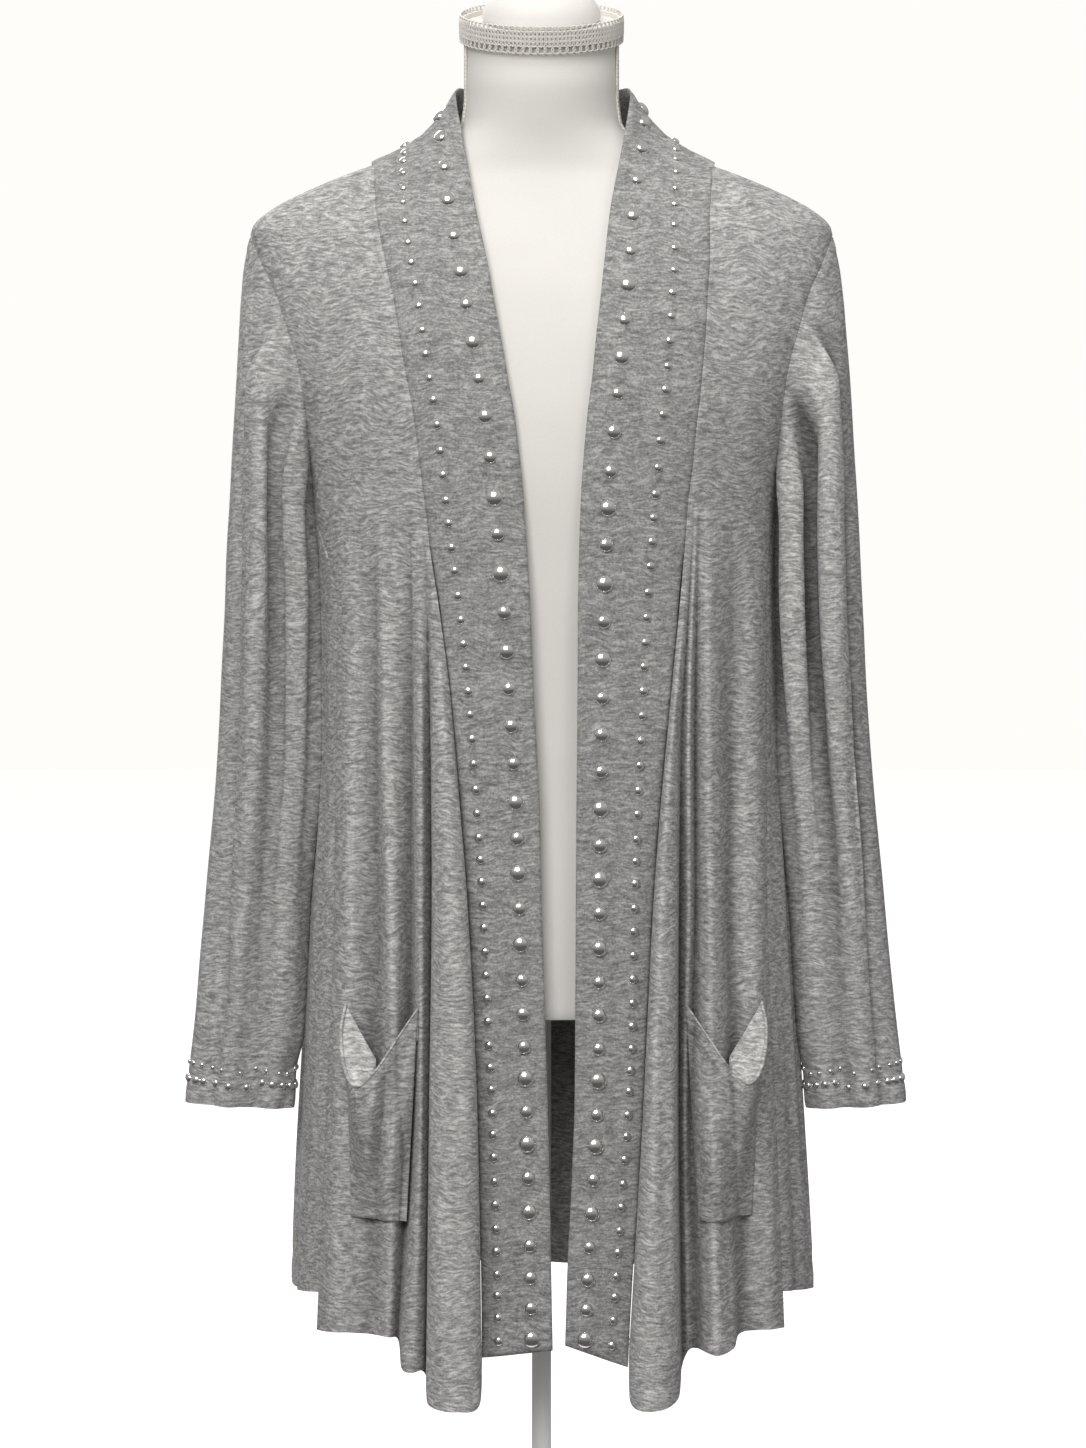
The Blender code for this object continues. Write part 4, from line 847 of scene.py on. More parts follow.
# ---------------------------------------------------------------- form and stand
def form_rings():
    zs = np.array(column(FORM, 1))
    heights = []
    for a, b in zip(zs[:-1], zs[1:]):
        heights += [a, (a + b) / 2] if a - b > 35 else [a]
    heights.append(zs[-1])
    angle = np.arange(FORM_ROUND) * 2 * math.pi / FORM_ROUND
    rings = []
    for z in heights[::-1]:
        half, lean, front, back, power = (follow(z, zs, column(FORM, i)) for i in (2, 3, 4, 5, 6))
        c, s = np.cos(angle), np.sin(angle)
        x = half * np.sign(c) * np.abs(c) ** (2 / power)
        y = np.where(s < 0, front, back) * np.sign(s) * np.abs(s) ** (2 / power) + lean
        zz = np.full_like(x, z)
        if z == zs[-1]:
            # a small round at the cut underside
            rings.append(np.stack([x * 0.982, y * 0.982, zz], -1) * MM)
            zz = zz + 3.0
        rings.append(np.stack([x, y, zz], -1) * MM)
    rings.append(neck_ring(NECK_RADIUS, -0.0195))
    rings.append(neck_ring(NECK_RADIUS, 0.0))
    return rings


def neck_ring(radius, up, count=None):
    """Ring round the neck's tilted top plane, moved along the plane's normal."""
    angle = np.arange(count or FORM_ROUND) * 2 * math.pi / (count or FORM_ROUND)
    tilt = math.radians(NECK_TILT)
    x = radius * np.cos(angle)
    a = radius * np.sin(angle)
    y = NECK_LEAN + a * math.cos(tilt) - up * math.sin(tilt)
    z = NECK_TOP_Z + a * math.sin(tilt) + up * math.cos(tilt)
    return np.stack([x, y, z], -1)


def trim_shape():
    """Braid ring round the neck's top edge, open above and below."""
    inner = NECK_RADIUS + 2 * GAP
    outer = inner + TRIM_WALL
    rings = [
        neck_ring(inner, 0.0035), neck_ring(outer - 0.0006, 0.0035), neck_ring(outer, 0.0026),
        neck_ring(outer, -TRIM_HEIGHT + 0.0044), neck_ring(outer - 0.0006, -TRIM_HEIGHT + 0.0035),
        neck_ring(inner, -TRIM_HEIGHT + 0.0035),
    ]
    rings = np.array(rings)
    rows, cols = rings.shape[:2]
    faces = []
    for i in range(rows):
        k = (i + 1) % rows
        for j in range(cols):
            m = (j + 1) % cols
            faces.append((i * cols + j, i * cols + m, k * cols + m, k * cols + j))
    return rings.reshape(-1, 3), faces


def cap_shape():
    profile = (
        # share of the radius, height
        (0.97, 0.0), (1.0, 0.003), (0.99, 0.008), (0.93, 0.0135), (0.80, 0.0185),
        (0.60, 0.0225), (0.36, 0.0250), (0.14, 0.0260),
    )
    rings = [neck_ring(CAP_RADIUS * r, GAP + h / 0.026 * CAP_HEIGHT, 24) for r, h in profile]
    return loft(rings)




# ---------------------------------------------------------------- finer curves and noise
def through_lines(values, at):
    """Catmull-Rom curve through the last axis of values, read at line numbers."""
    n = values.shape[-1]
    at = np.clip(at, 0, n - 1)
    i = np.minimum(at.astype(int), n - 2)
    t = at - i

    def pick(k):
        spot = i + k
        inner = np.take_along_axis(values, np.clip(spot, 0, n - 1)[..., None], -1)[..., 0]
        low = 2 * values[..., 0] - values[..., 1]
        high = 2 * values[..., -1] - values[..., -2]
        return np.where(spot < 0, low, np.where(spot > n - 1, high, inner))

    a, b, c, d = pick(-1), pick(0), pick(1), pick(2)
    return 0.5 * (
        2 * b + (c - a) * t + (2 * a - 5 * b + 4 * c - d) * t**2 + (3 * b - a - 3 * c + d) * t**3
    )


def soft_noise(a, b, long_a, long_b, seed, count=9):
    """Smooth unevenness from -1 to 1 with these wave lengths along a and b (metres)."""
    rng = np.random.RandomState(seed)
    total = np.zeros(np.broadcast(a, b).shape)
    for _ in range(count):
        ka = 2 * math.pi / long_a * rng.uniform(0.55, 1.5)
        kb = 2 * math.pi / long_b * rng.uniform(-1.2, 1.2)
        total = total + np.sin(ka * a + kb * b + rng.uniform(0, 6.28))
    return total / count * 1.6


def groove(distance, width, depth):
    return -depth * np.exp(-((distance / width) ** 2))


def front_fine(side, u, z):
    """Front panel's middle surface with its small wrinkles and the hem's stitch line."""
    out, proud = front_lines(side, z)
    last = ramp((0.785 - z) / 0.06)
    out[..., 0] += 0.4 * MM
    out[..., -1] += -0.5 * MM + last * 1.3 * MM
    out[..., -2] = np.maximum(out[..., -2], out[..., -1] + 0.3 * MM)
    x = through_lines(out, u)
    d = through_lines(proud, u)
    lines = len(fold_table(side))
    calm = ramp((lines - 1 - u) / 3.0) * ramp(u / 0.8 + 0.2)
    low = ramp((0.80 - z) / 0.45)
    seed = 11 if side == "right" else 23
    fine = soft_noise(x, z, 0.021, 0.42, seed) * (0.25 + 1.35 * low)
    wide = soft_noise(x, z, 0.060, 0.55, seed + 1) * (0.7 + 1.2 * low)
    slant = soft_noise(x + 0.5 * z, z, 0.05, 0.2, seed + 2) * 0.45 * (1 - low)
    d = d + (fine + wide + slant) * MM * calm
    hem = through(column(fold_table(side), 12), u) * MM
    d = d + groove(z - hem - 0.0190, 0.0016, 0.45 * MM)
    d = d + 0.6 * MM * ramp((hem + 0.018 - z) / 0.018)
    x = SIDES[side] * x
    y = body_y(x, z, "front") - d
    y = np.where(z > 0.9, np.minimum(y, 0.3 * MM), y)
    return np.stack([x, y, z], -1)


def fine_front_grid(side, rows, per_line):
    table = fold_table(side)
    u = np.linspace(0, len(table) - 1, (len(table) - 1) * per_line + 1)
    v = np.linspace(0, 1, rows) ** 1.35
    uu, vv = np.meshgrid(u, v)
    share = through(column(table, 1), u)
    top = shoulder_seam_z(SHOULDER_X + (seam_top(side) - SHOULDER_X) * np.clip(share, 0, 1))
    hem = through(column(table, 12), u) * MM
    z = top[None] + (hem - top)[None] * vv
    return front_fine(side, uu, z)


def fine_back_grid(rows, cols):
    grid = back_grid(rows, cols)
    x, y, z = grid[..., 0], grid[..., 1], grid[..., 2]
    s = np.linspace(0, 1, cols)[None] * np.ones_like(z)
    low = ramp((0.82 - z) / 0.5)
    edge = ramp(np.minimum(s, 1 - s) / 0.04)
    d = soft_noise(s * 0.62, z, 0.030, 0.5, 5) * (0.3 + 1.4 * low)
    d = d + soft_noise(s * 0.62, z, 0.085, 0.7, 6) * (0.6 + 2.2 * low)
    hem = grid[-1, :, 2][None]
    d = d * edge * MM + groove(z - hem - 0.0200, 0.0016, 0.45 * MM)
    away = np.hypot(x, y) + 1e-9
    k = ramp((NECK_SEAM_Z - 0.004 - z) / 0.03)
    grid[..., 0] += x / away * d * k
    grid[..., 1] += y / away * d * k
    return grid


def smooth_along(rows, count):
    """Rows re-spaced evenly along a Catmull-Rom curve through them; also each row's distance."""
    rows = np.asarray(rows)
    step = np.linalg.norm(np.diff(rows.mean(1), axis=0), axis=-1)
    length = np.concatenate([[0], np.cumsum(step)])
    at = np.linspace(0, length[-1], count)
    place = np.interp(at, length, np.arange(len(rows)))
    moved = np.moveaxis(rows, 0, -1)
    spot = np.broadcast_to(place, moved.shape[:-1] + (count,))
    out = np.zeros(moved.shape[:-1] + (count,))
    for j in range(moved.shape[0]):
        for k in range(3):
            out[j, k] = through(moved[j, k], spot[j, k])
    return np.moveaxis(out, -1, 0), at


# The band's stud rows: share of the width from the seam, at places along the band.
STUDS = (
    # side, row, share at neck, chest, waist, hip, hem; spacing at the neck and at the hem; size
    ("left", "large", 0.77, 0.755, 0.745, 0.665, 0.690, 26.8, 23.0, 13.0),
    ("left", "small", 0.36, 0.330, 0.310, 0.200, 0.270, 17.6, 16.0, 7.3),
    ("right", "large", 0.74, 0.715, 0.705, 0.690, 0.705, 27.2, 23.0, 13.0),
    ("right", "small", 0.30, 0.235, 0.215, 0.205, 0.240, 17.0, 16.0, 7.3),
)
STUD_SIZES = {"large": (1.0, 0.80, 0.86, 0.80, 0.95, 0.82, 1.02, 0.84), "small": (1.0, 0.92, 1.0, 0.95)}


def band_surface(side, rows):
    """The band's middle surface, its distances along, and the share of the width of each column."""
    coarse = band_grid(side, 24)
    grid, along = smooth_along(coarse, rows)
    w = np.linspace(0, 1, grid.shape[1])
    n = unit(normals_of(grid, False))
    if np.mean(n[: rows // 2, :, 1]) > 0:
        n = -n
    wave = soft_noise(along[:, None], w[None] * 0.07, 0.075, 0.10, 31 if side == "right" else 37) * 0.55
    wave = wave + soft_noise(along[:, None], w[None] * 0.07, 0.030, 0.05, 41) * 0.22
    crease = groove(w[None] - 0.50 + 0.02 * np.sin(along[:, None] * 9), 0.035, 0.55)
    roll = groove(w[None] - 0.97, 0.02, 0.3)
    seam = groove(w[None] - 0.03, 0.022, 0.5)
    return grid + n * ((wave + crease + roll + seam) * MM)[..., None], along, w


def stud_places(side, row, grid, along):
    """Points and normals of one row of studs, evenly spaced along the band."""
    spec = next(r for r in STUDS if r[0] == side and r[1] == row)
    shares, step_top, step_low, size = spec[2:7], spec[7] * MM, spec[8] * MM, spec[9] * MM
    total = along[-1]
    visible = total - 0.150                      # where the row passes over the shoulder
    keys = np.array([1.0, 0.80, 0.55, 0.25, 0.0]) * visible
    n = unit(normals_of(grid, False))
    if np.mean(n[: len(n) // 2, :, 1]) > 0:
        n = -n
    rng = np.random.RandomState(len(side) * 7 + len(row))
    spots = []
    at = 0.0105
    k = 0
    while at < total - 0.008:
        share = np.interp(at, keys[::-1], np.array(shares)[::-1])
        i = np.interp(at, along, np.arange(len(along)))
        j = share * (grid.shape[1] - 1)
        i0, j0 = int(i), int(j)
        i0, j0 = min(i0, grid.shape[0] - 2), min(j0, grid.shape[1] - 2)
        fi, fj = i - i0, j - j0
        p = (grid[i0, j0] * (1 - fj) + grid[i0, j0 + 1] * fj) * (1 - fi) + (
            grid[i0 + 1, j0] * (1 - fj) + grid[i0 + 1, j0 + 1] * fj
        ) * fi
        sizes = STUD_SIZES[row]
        spots.append((p, n[i0, j0], size * sizes[k % len(sizes)] * rng.uniform(0.97, 1.03)))
        at += (step_low + (step_top - step_low) * ramp((at / visible - 0.15) / 0.45)) * rng.uniform(0.97, 1.03)
        k += 1
    return spots


def domes(spots, rings=7, around=20, lift=0.0):
    """Domed studs with a small flat rim, as one mesh: two materials' worth of faces in one."""
    verts, faces = [], []
    for p, n, size in spots:
        n = np.asarray(n) / np.linalg.norm(n)
        t = np.cross(n, [0.0, 0.0, 1.0])
        t /= np.linalg.norm(t)
        b = np.cross(n, t)
        r = size / 2
        start = len(verts)
        profile = [(r * 0.98, -0.4 * MM), (r, 0.05 * MM), (r * 0.985, 0.25 * MM)]
        for i in range(1, rings):
            a = i / rings * math.pi / 2
            profile.append((r * 0.96 * math.cos(a), 0.3 * MM + r * 0.62 * math.sin(a)))
        for rr, h in profile:
            for q in range(around):
                a = q / around * 2 * math.pi
                verts.append(p + n * (h + lift) + t * rr * math.cos(a) + b * rr * math.sin(a))
        verts.append(p + n * (0.3 * MM + r * 0.62 + lift))
        verts.append(p + n * (-0.4 * MM + lift))
        rows = len(profile)
        for i in range(rows - 1):
            for q in range(around):
                m = (q + 1) % around
                faces.append((start + i * around + q, start + i * around + m,
                              start + (i + 1) * around + m, start + (i + 1) * around + q))
        top, low = start + rows * around, start + rows * around + 1
        for q in range(around):
            m = (q + 1) % around
            faces.append((start + (rows - 1) * around + q, start + (rows - 1) * around + m, top))
            faces.append((start + m, start + q, low))
    return np.array(verts), faces


def dashes(path, normal, pitch, length, width, height):
    """A row of raised stitches along a path: little ridges, each a flattened roof."""
    path, normal = np.asarray(path), np.asarray(normal)
    step = np.linalg.norm(np.diff(path, axis=0), axis=1)
    at = np.concatenate([[0], np.cumsum(step)])
    verts, faces = [], []
    k = 0
    while (k + 1) * pitch < at[-1]:
        a0 = k * pitch
        ends = []
        for a in (a0, a0 + length):
            p = np.array([np.interp(a, at, path[:, c]) for c in range(3)])
            n = np.array([np.interp(a, at, normal[:, c]) for c in range(3)])
            ends.append((p, n / np.linalg.norm(n)))
        (p0, n0), (p1, n1) = ends
        d = p1 - p0
        d /= max(np.linalg.norm(d), 1e-9)
        side = np.cross(d, n0)
        start = len(verts)
        for p, n in ends:
            verts += [p + side * width / 2 - n * 0.1 * MM, p + n * height * 0.5, p - side * width / 2 - n * 0.1 * MM]
        m = (p0 + p1) / 2
        nn = (n0 + n1) / 2
        verts += [m + side * width / 2 - nn * 0.1 * MM, m + nn * height, m - side * width / 2 - nn * 0.1 * MM]
        a, b, c = start, start + 3, start + 6
        for i, j in ((a, c), (c, b)):
            faces += [(i, i + 1, j + 1, j), (i + 1, i + 2, j + 2, j + 1), (i + 2, i, j, j + 2)]
        faces += [(a, a + 2, a + 1), (b, b + 1, b + 2)]
        k += 1
    return np.array(verts), faces


# ---------------------------------------------------------------- sleeves and pockets, finer
# How proud the sleeve's front folds stand, by share of the way from the outside to the inside.
SLEEVE_RIDGES = ((0.00, 0.0), (0.14, -1.5), (0.245, -5.0), (0.295, 4.2), (0.40, 3.2), (0.50, -1.5), (0.58, -6.5),
                 (0.66, -2.5), (0.75, 4.5), (0.84, 2.5), (0.92, -4.0), (1.00, 0.0))


def fine_sleeve_grid(side, rows, count):
    grid = sleeve_grid(side, rows, count)
    sign = SIDES[side]
    ring, phi = armhole_loop(side, count)
    place = (1 - np.cos(phi)) / 2
    # the cap falls from just under the armhole seam
    start = ring.copy()
    start[:, 0] -= sign * 1.6 * MM
    join_z = 0.925 - 0.185 * place
    end = sleeve_ring(side, phi, join_z)
    end = clear_of_body(end, 1.6 * MM)
    below = clear_of_body(sleeve_ring(side, phi, join_z - 0.02), 1.6 * MM)
    fall = (below - end) / 0.02
    drop = np.maximum(ring[:, 2] - join_z, 0.02)
    out = np.stack([sign * (0.42 - 0.20 * place), -0.34 * np.sin(phi), -np.ones(count)], -1)
    out /= np.linalg.norm(out, axis=1)[:, None]
    cap_rows = max(5, rows * 6 // 17)
    for i in range(cap_rows):
        t = i / cap_rows
        t2, t3 = t * t, t * t * t
        line = ((2 * t3 - 3 * t2 + 1) * start + (t3 - 2 * t2 + t) * out * (drop * 0.9)[:, None]
                + (-2 * t3 + 3 * t2) * end + (t3 - t2) * fall * drop[:, None])
        free = clear_of_body(line, 1.4 * MM)
        share = min(t * 3.0, 1.0)
        grid[i] = line * (1 - share) + free * share
    phi = phi[None] * np.ones((rows, 1))
    z = grid[..., 2]
    n = unit(normals_of(grid, True))
    centre = grid.mean(1, keepdims=True)
    if np.mean(np.sum(n * (grid - centre), -1)) < 0:
        n = -n
    seed = 51 if side == "right" else 67
    share = (1 - np.cos(phi)) / 2
    across = np.where(np.sin(phi) >= 0, (1 - np.cos(phi)) / 2, 1 + (1 + np.cos(phi)) / 2) * 0.09
    low = ramp((0.90 - z) / 0.25)
    d = soft_noise(across, z, 0.020, 0.34, seed) * (0.30 + 0.55 * low)
    d = d + soft_noise(across, z, 0.045, 0.42, seed + 1) * (0.5 + 0.9 * low)
    d = d + soft_noise(across + 0.35 * z, z, 0.05, 0.16, seed + 2) * 0.45
    moving = share + 0.03 * np.sin(z * 11 + (0 if side == "right" else 2)) + 0.02 * np.sin(z * 23 + 1)
    ridges = follow(moving, column_of(SLEEVE_RIDGES, 0), column_of(SLEEVE_RIDGES, 1))
    front = ramp(np.sin(phi) / 0.45)
    strong = (0.60 + 0.40 * ramp((0.955 - z) / 0.10)) * (0.22 + 0.78 * ramp((z - 0.40) / 0.30))
    d = d + (ridges * 1.15 + 1.5) * front * strong
    d = d - ridges * ramp(-np.sin(phi) / 0.45) * strong * 0.45
    cuff = z[-1:]
    d = d + 0.35 * ramp((cuff + 0.018 - z) / 0.004) + groove(z - cuff - 0.0175, 0.0013, 0.5)
    start = ramp((grid[0:1, :, 2] - z) / 0.035)
    moved = grid + n * (d * start * MM)[..., None]
    lean = ramp((share - 0.70) / 0.30) * ramp((z - 0.372) / 0.03) * ramp((0.86 - z) / 0.06) * 4.6 * MM
    moved[..., 0] -= sign * lean
    keep = np.clip(np.arange(rows) / 14.0, 0, 1)[:, None, None]
    moved = moved * (1 - keep) + clear_of_body(moved, 0.5 * MM) * keep
    # painted shade in the valleys of the sleeve's front folds, painted highlight on their ridges, and painted shade in
    # the crevice between sleeve and body
    painted_crevice_shade = ramp((share - 0.90) / 0.10) * ramp((z - 0.36) / 0.05) * ramp((0.93 - z) / 0.05)
    tone = np.clip(-ridges / 6.5, -0.35, 1) * strong * start * front * 1.05 + 1.0 * painted_crevice_shade
    return moved, tone


def column_of(table, i):
    return [r[i] for r in table]


class Face:
    """Frontmost layer of a front as a table over distance from the axis and height."""

    def __init__(self, side, low, high):
        self.x = np.arange(0.070, 0.180, 0.0010)
        self.z = np.arange(low, high, 0.0040)
        lines = len(fold_table(side))
        u = np.linspace(0, lines - 1, 480)
        uu, zz = np.meshgrid(u, self.z)
        p = front_fine(side, uu, zz)
        px, py = np.abs(p[..., 0]), p[..., 1]
        self.y = np.zeros((len(self.z), len(self.x)))
        for i in range(len(self.z)):
            a, b = px[i, :-1], px[i, 1:]
            lo, hi = np.minimum(a, b), np.maximum(a, b)
            for j, x in enumerate(self.x):
                hit = np.flatnonzero((lo <= x) & (x <= hi))
                if len(hit):
                    t = (x - a[hit]) / np.where(b[hit] == a[hit], 1, b[hit] - a[hit])
                    self.y[i, j] = (py[i, hit] + t * (py[i, hit + 1] - py[i, hit])).min()
                else:
                    self.y[i, j] = -0.085
        # reach over each ridge a little, so that what lies on it stays clear
        wide = self.y.copy()
        for shift in (-3, -2, -1, 1, 2, 3):
            wide = np.minimum(wide, np.roll(self.y, shift, 1) + 0.0005 * abs(shift))
        self.wide = wide

    def at(self, x, z, wide=True):
        table = self.wide if wide else self.y
        fx = np.clip((np.abs(x) - self.x[0]) / 0.0010, 0, len(self.x) - 1.001)
        fz = np.clip((z - self.z[0]) / 0.0040, 0, len(self.z) - 1.001)
        i, j = fz.astype(int), fx.astype(int)
        a, b = fz - i, fx - j
        return ((table[i, j] * (1 - b) + table[i, j + 1] * b) * (1 - a)
                + (table[i + 1, j] * (1 - b) + table[i + 1, j + 1] * b) * a)


def pocket_surface(side, rows, cols, facing_rows):
    """Patch pocket up to its sagging rim, then over the rim and down inside as its facing."""
    sign = SIDES[side]
    _, top, bottom, in_top, in_bottom, out_top, out_bottom = next(r for r in POCKET_SIDES if r[0] == side)
    face = Face(side, bottom * MM - 0.03, top * MM + 0.03)
    p = np.linspace(0, 1, cols)
    places = column(POCKET_RIM, 1)
    line = np.interp(p, places, np.arange(len(places)))
    across = through(column(POCKET_RIM, 2), line)
    drop = through(column(POCKET_RIM, 3), line)
    out = np.maximum(through(column(POCKET_RIM, 4), line), 2.4)
    seed = 71 if side == "right" else 83

    def place(share, z_mm):
        down = (top - z_mm) / (top - bottom)
        edge_out = out_top + (out_bottom - out_top) * down
        edge_in = in_top + (in_bottom - in_top) * down
        return (edge_out + (edge_in - edge_out) * share) * MM

    body = []
    for qi in np.linspace(1, 0, rows):
        settle = (1 - qi) ** 1.4
        share = across * settle + p * (1 - settle)
        z = (top - drop) * (1 - qi) + bottom * qi
        x = place(share, z)
        skin = face.at(x, z * MM)
        skin = np.minimum(skin, skin[0] + (skin[-1] - skin[0]) * p)
        belly = 6.5 * np.sin(math.pi * p) * np.sin(math.pi * qi) ** 0.8
        hang = (out - 2.4) * (1 - qi) ** 1.2 + belly
        # folds fan from the sagging side of the rim down to the far corner
        fan = (p - 0.40) * math.cos(0.6) + qi * math.sin(0.6)
        below = ramp((0.93 - qi) / 0.16)
        drape = 4.2 * np.sin(10.5 * fan + 0.4) * np.sin(math.pi * np.clip(p, 0, 1)) ** 0.7 * math.sin(math.pi * min(qi + 0.10, 1.0)) ** 0.6 * below
        swag = p - 0.20 - 0.42 * (1 - qi)
        drape = drape + 3.4 * np.exp(-(swag / 0.09) ** 2) * math.sin(math.pi * min(qi + 0.05, 1.0)) ** 0.5 * below
        drape = drape + soft_noise(p * 0.06, np.full_like(p, z * 1.0) * MM, 0.018, 0.05, seed) * 0.55 * np.sin(math.pi * p)
        band = groove((qi - 0.915) * 130, 1.7, 0.8)
        lift = 1.9 + hang + drape + band
        body.append(np.stack([sign * x, skin - np.maximum(lift, 1.5) * MM, z * MM + 0 * x], -1))
    rim = body[-1]
    # the facing: outside half leans back up to the straight line across the mouth
    skin_rim = face.at(rim[:, 0], rim[:, 2])
    corner_out, corner_in = rim[0], rim[-1]
    vee = int(np.argmin(np.abs(p - 0.62)))
    low_p = rim[vee]
    facing = []
    for k in range(1, facing_rows + 1):
        t = k / facing_rows
        row = []
        for j in range(cols):
            r = rim[j]
            if j <= vee:
                f = j / vee
                f2 = f * f * (3 - 2 * f)
                end_x = corner_out[0] + (low_p[0] - corner_out[0]) * f2
                end_z = corner_out[2] + (low_p[2] - corner_out[2]) * f2
                end_y = skin_rim[j] * 0.55 + r[1] * 0.45
                end = np.array([end_x, min(end_y, face.at(np.array([end_x]), np.array([end_z]))[0] - 1.2 * MM), end_z])
                mix = ramp((1 - f) / 0.18)
                inside = np.array([r[0], r[1] + 2.6 * MM, r[2] - 22.0 * MM])
                end = end * mix + inside * (1 - mix)
                bulge = 1.2 * MM * math.sin(math.pi * t) * math.sin(math.pi * f)
                q = r + (end - r) * t
                q = q + np.array([0, 0, -bulge])
            else:
                q = np.array([r[0], r[1] + 2.6 * MM * ramp(t * 4), r[2] - 22.0 * MM * t])
            q = q + np.array([0, 1.5 * MM * min(t * 6, 1.0), 1.0 * MM * math.sin(math.pi * min(t * 3, 1.0))])
            limit = face.at(np.array([q[0]]), np.array([q[2]]))[0] - 0.9 * MM
            q[1] = min(q[1], limit)
            row.append(q)
        facing.append(row)
    return np.array(body + facing)[::-1], rows


# ---------------------------------------------------------------- meshes and materials
def thick_wall(grid, thickness, closed=False, soft_edge=1.2 * MM):
    """Closed cloth wall whose edges are rounded off."""
    rows, cols = grid.shape[:2]
    n = normals_of(grid, closed)
    scale = np.ones((rows, cols))

    def taper(dist):
        q = np.clip(dist / soft_edge, 0, 1)
        return np.maximum(np.sqrt(1 - (1 - q) ** 2), 0.30)

    down = np.concatenate([np.zeros((1, cols)), np.cumsum(np.linalg.norm(np.diff(grid, axis=0), axis=-1), 0)])
    scale = np.minimum(scale, np.minimum(taper(down), taper(down[-1:] - down)))
    if not closed:
        over = np.concatenate([np.zeros((rows, 1)), np.cumsum(np.linalg.norm(np.diff(grid, axis=1), axis=-1), 1)], 1)
        scale = np.minimum(scale, np.minimum(taper(over), taper(over[:, -1:] - over)))
    n = n * scale[..., None]
    verts = np.concatenate([(grid + n * thickness / 2).reshape(-1, 3), (grid - n * thickness / 2).reshape(-1, 3)])
    _, faces = wall(grid, thickness, closed)
    return verts, faces


def painted_fold_shade(grid, closed=False, reach=0.013, full=4.5):
    """Painted shade in folds and painted highlight on ridges: how far down in a fold each point lies, up to 1, and
    below 0 on a ridge, for both faces of a cloth wall.
    """
    n = unit(normals_of(grid, closed))
    step = np.linalg.norm(np.diff(grid, axis=1), axis=-1).mean() + 1e-9
    half = int(max(2, min(round(reach / step), grid.shape[1] // 3)))
    total = np.zeros_like(grid)
    weight = 0.0
    for k in range(-half, half + 1):
        w = 1 - abs(k) / (half + 1)
        if closed:
            total += np.roll(grid, k, 1) * w
        else:
            at = np.clip(np.arange(grid.shape[1]) + k, 0, grid.shape[1] - 1)
            total += grid[:, at] * w
        weight += w
    h = np.sum(n * (grid - total / weight), -1) / MM
    if not closed:
        rim = np.minimum(np.arange(grid.shape[1]), np.arange(grid.shape[1])[::-1])
        h = h * np.clip(rim / half, 0, 1)[None]
    smooth = h.copy()
    for k in (1, 2, 3):
        smooth[k:-k] = smooth[k:-k] + h[2 * k:] + h[: -2 * k]
    smooth[3:-3] /= 7
    smooth[:3], smooth[-3:] = h[:3], h[-3:]
    a = -smooth / full
    a = np.where(a < 0, a * 0.45, a)
    b = smooth / full
    b = np.where(b < 0, b * 0.45, b)
    return np.concatenate([np.clip(a, -0.3, 1).reshape(-1), np.clip(b, -0.3, 1).reshape(-1)])


def mesh_piece(name, shape, made_of, sharp=60.0, smooth=True, tone=None):
    verts, faces = shape
    verts = np.asarray(verts, float)
    mesh = bpy.data.meshes.new(name)
    mesh.from_pydata(verts.tolist(), [], [tuple(int(i) for i in f) for f in faces])
    mesh.validate()
    mesh.update()
    if tone is not None:
        # the fold attribute carries painted shade in folds and painted highlight on ridges
        layer = mesh.attributes.new("fold", "FLOAT", "POINT")
        layer.data.foreach_set("value", np.asarray(tone, np.float32))
    if smooth:
        mesh.shade_smooth()
        mesh.set_sharp_from_angle(angle=math.radians(sharp))
    mesh.materials.append(made_of)
    obj = bpy.data.objects.new(name, mesh)
    bpy.context.scene.collection.objects.link(obj)
    return obj


def outward(shape):
    verts, faces = shape
    if volume_of(np.asarray(verts), faces) < 0:
        faces = [tuple(f)[::-1] for f in faces]
    return verts, faces


def surface_area(obj):
    return sum(p.area for p in obj.data.polygons)


class Nodes:
    """Small helper that places and links shader nodes."""

    def __init__(self, name):
        self.mat = bpy.data.materials.new(name)
        self.mat.use_nodes = True
        self.tree = self.mat.node_tree
        self.shader = self.tree.nodes["Principled BSDF"]

    def node(self, kind, **settings):
        made = self.tree.nodes.new(kind)
        for key, value in settings.items():
            if key in made.inputs.keys():
                made.inputs[key].default_value = value
            else:
                setattr(made, key, value)
        return made

    def link(self, a, b):
        self.tree.links.new(a, b)


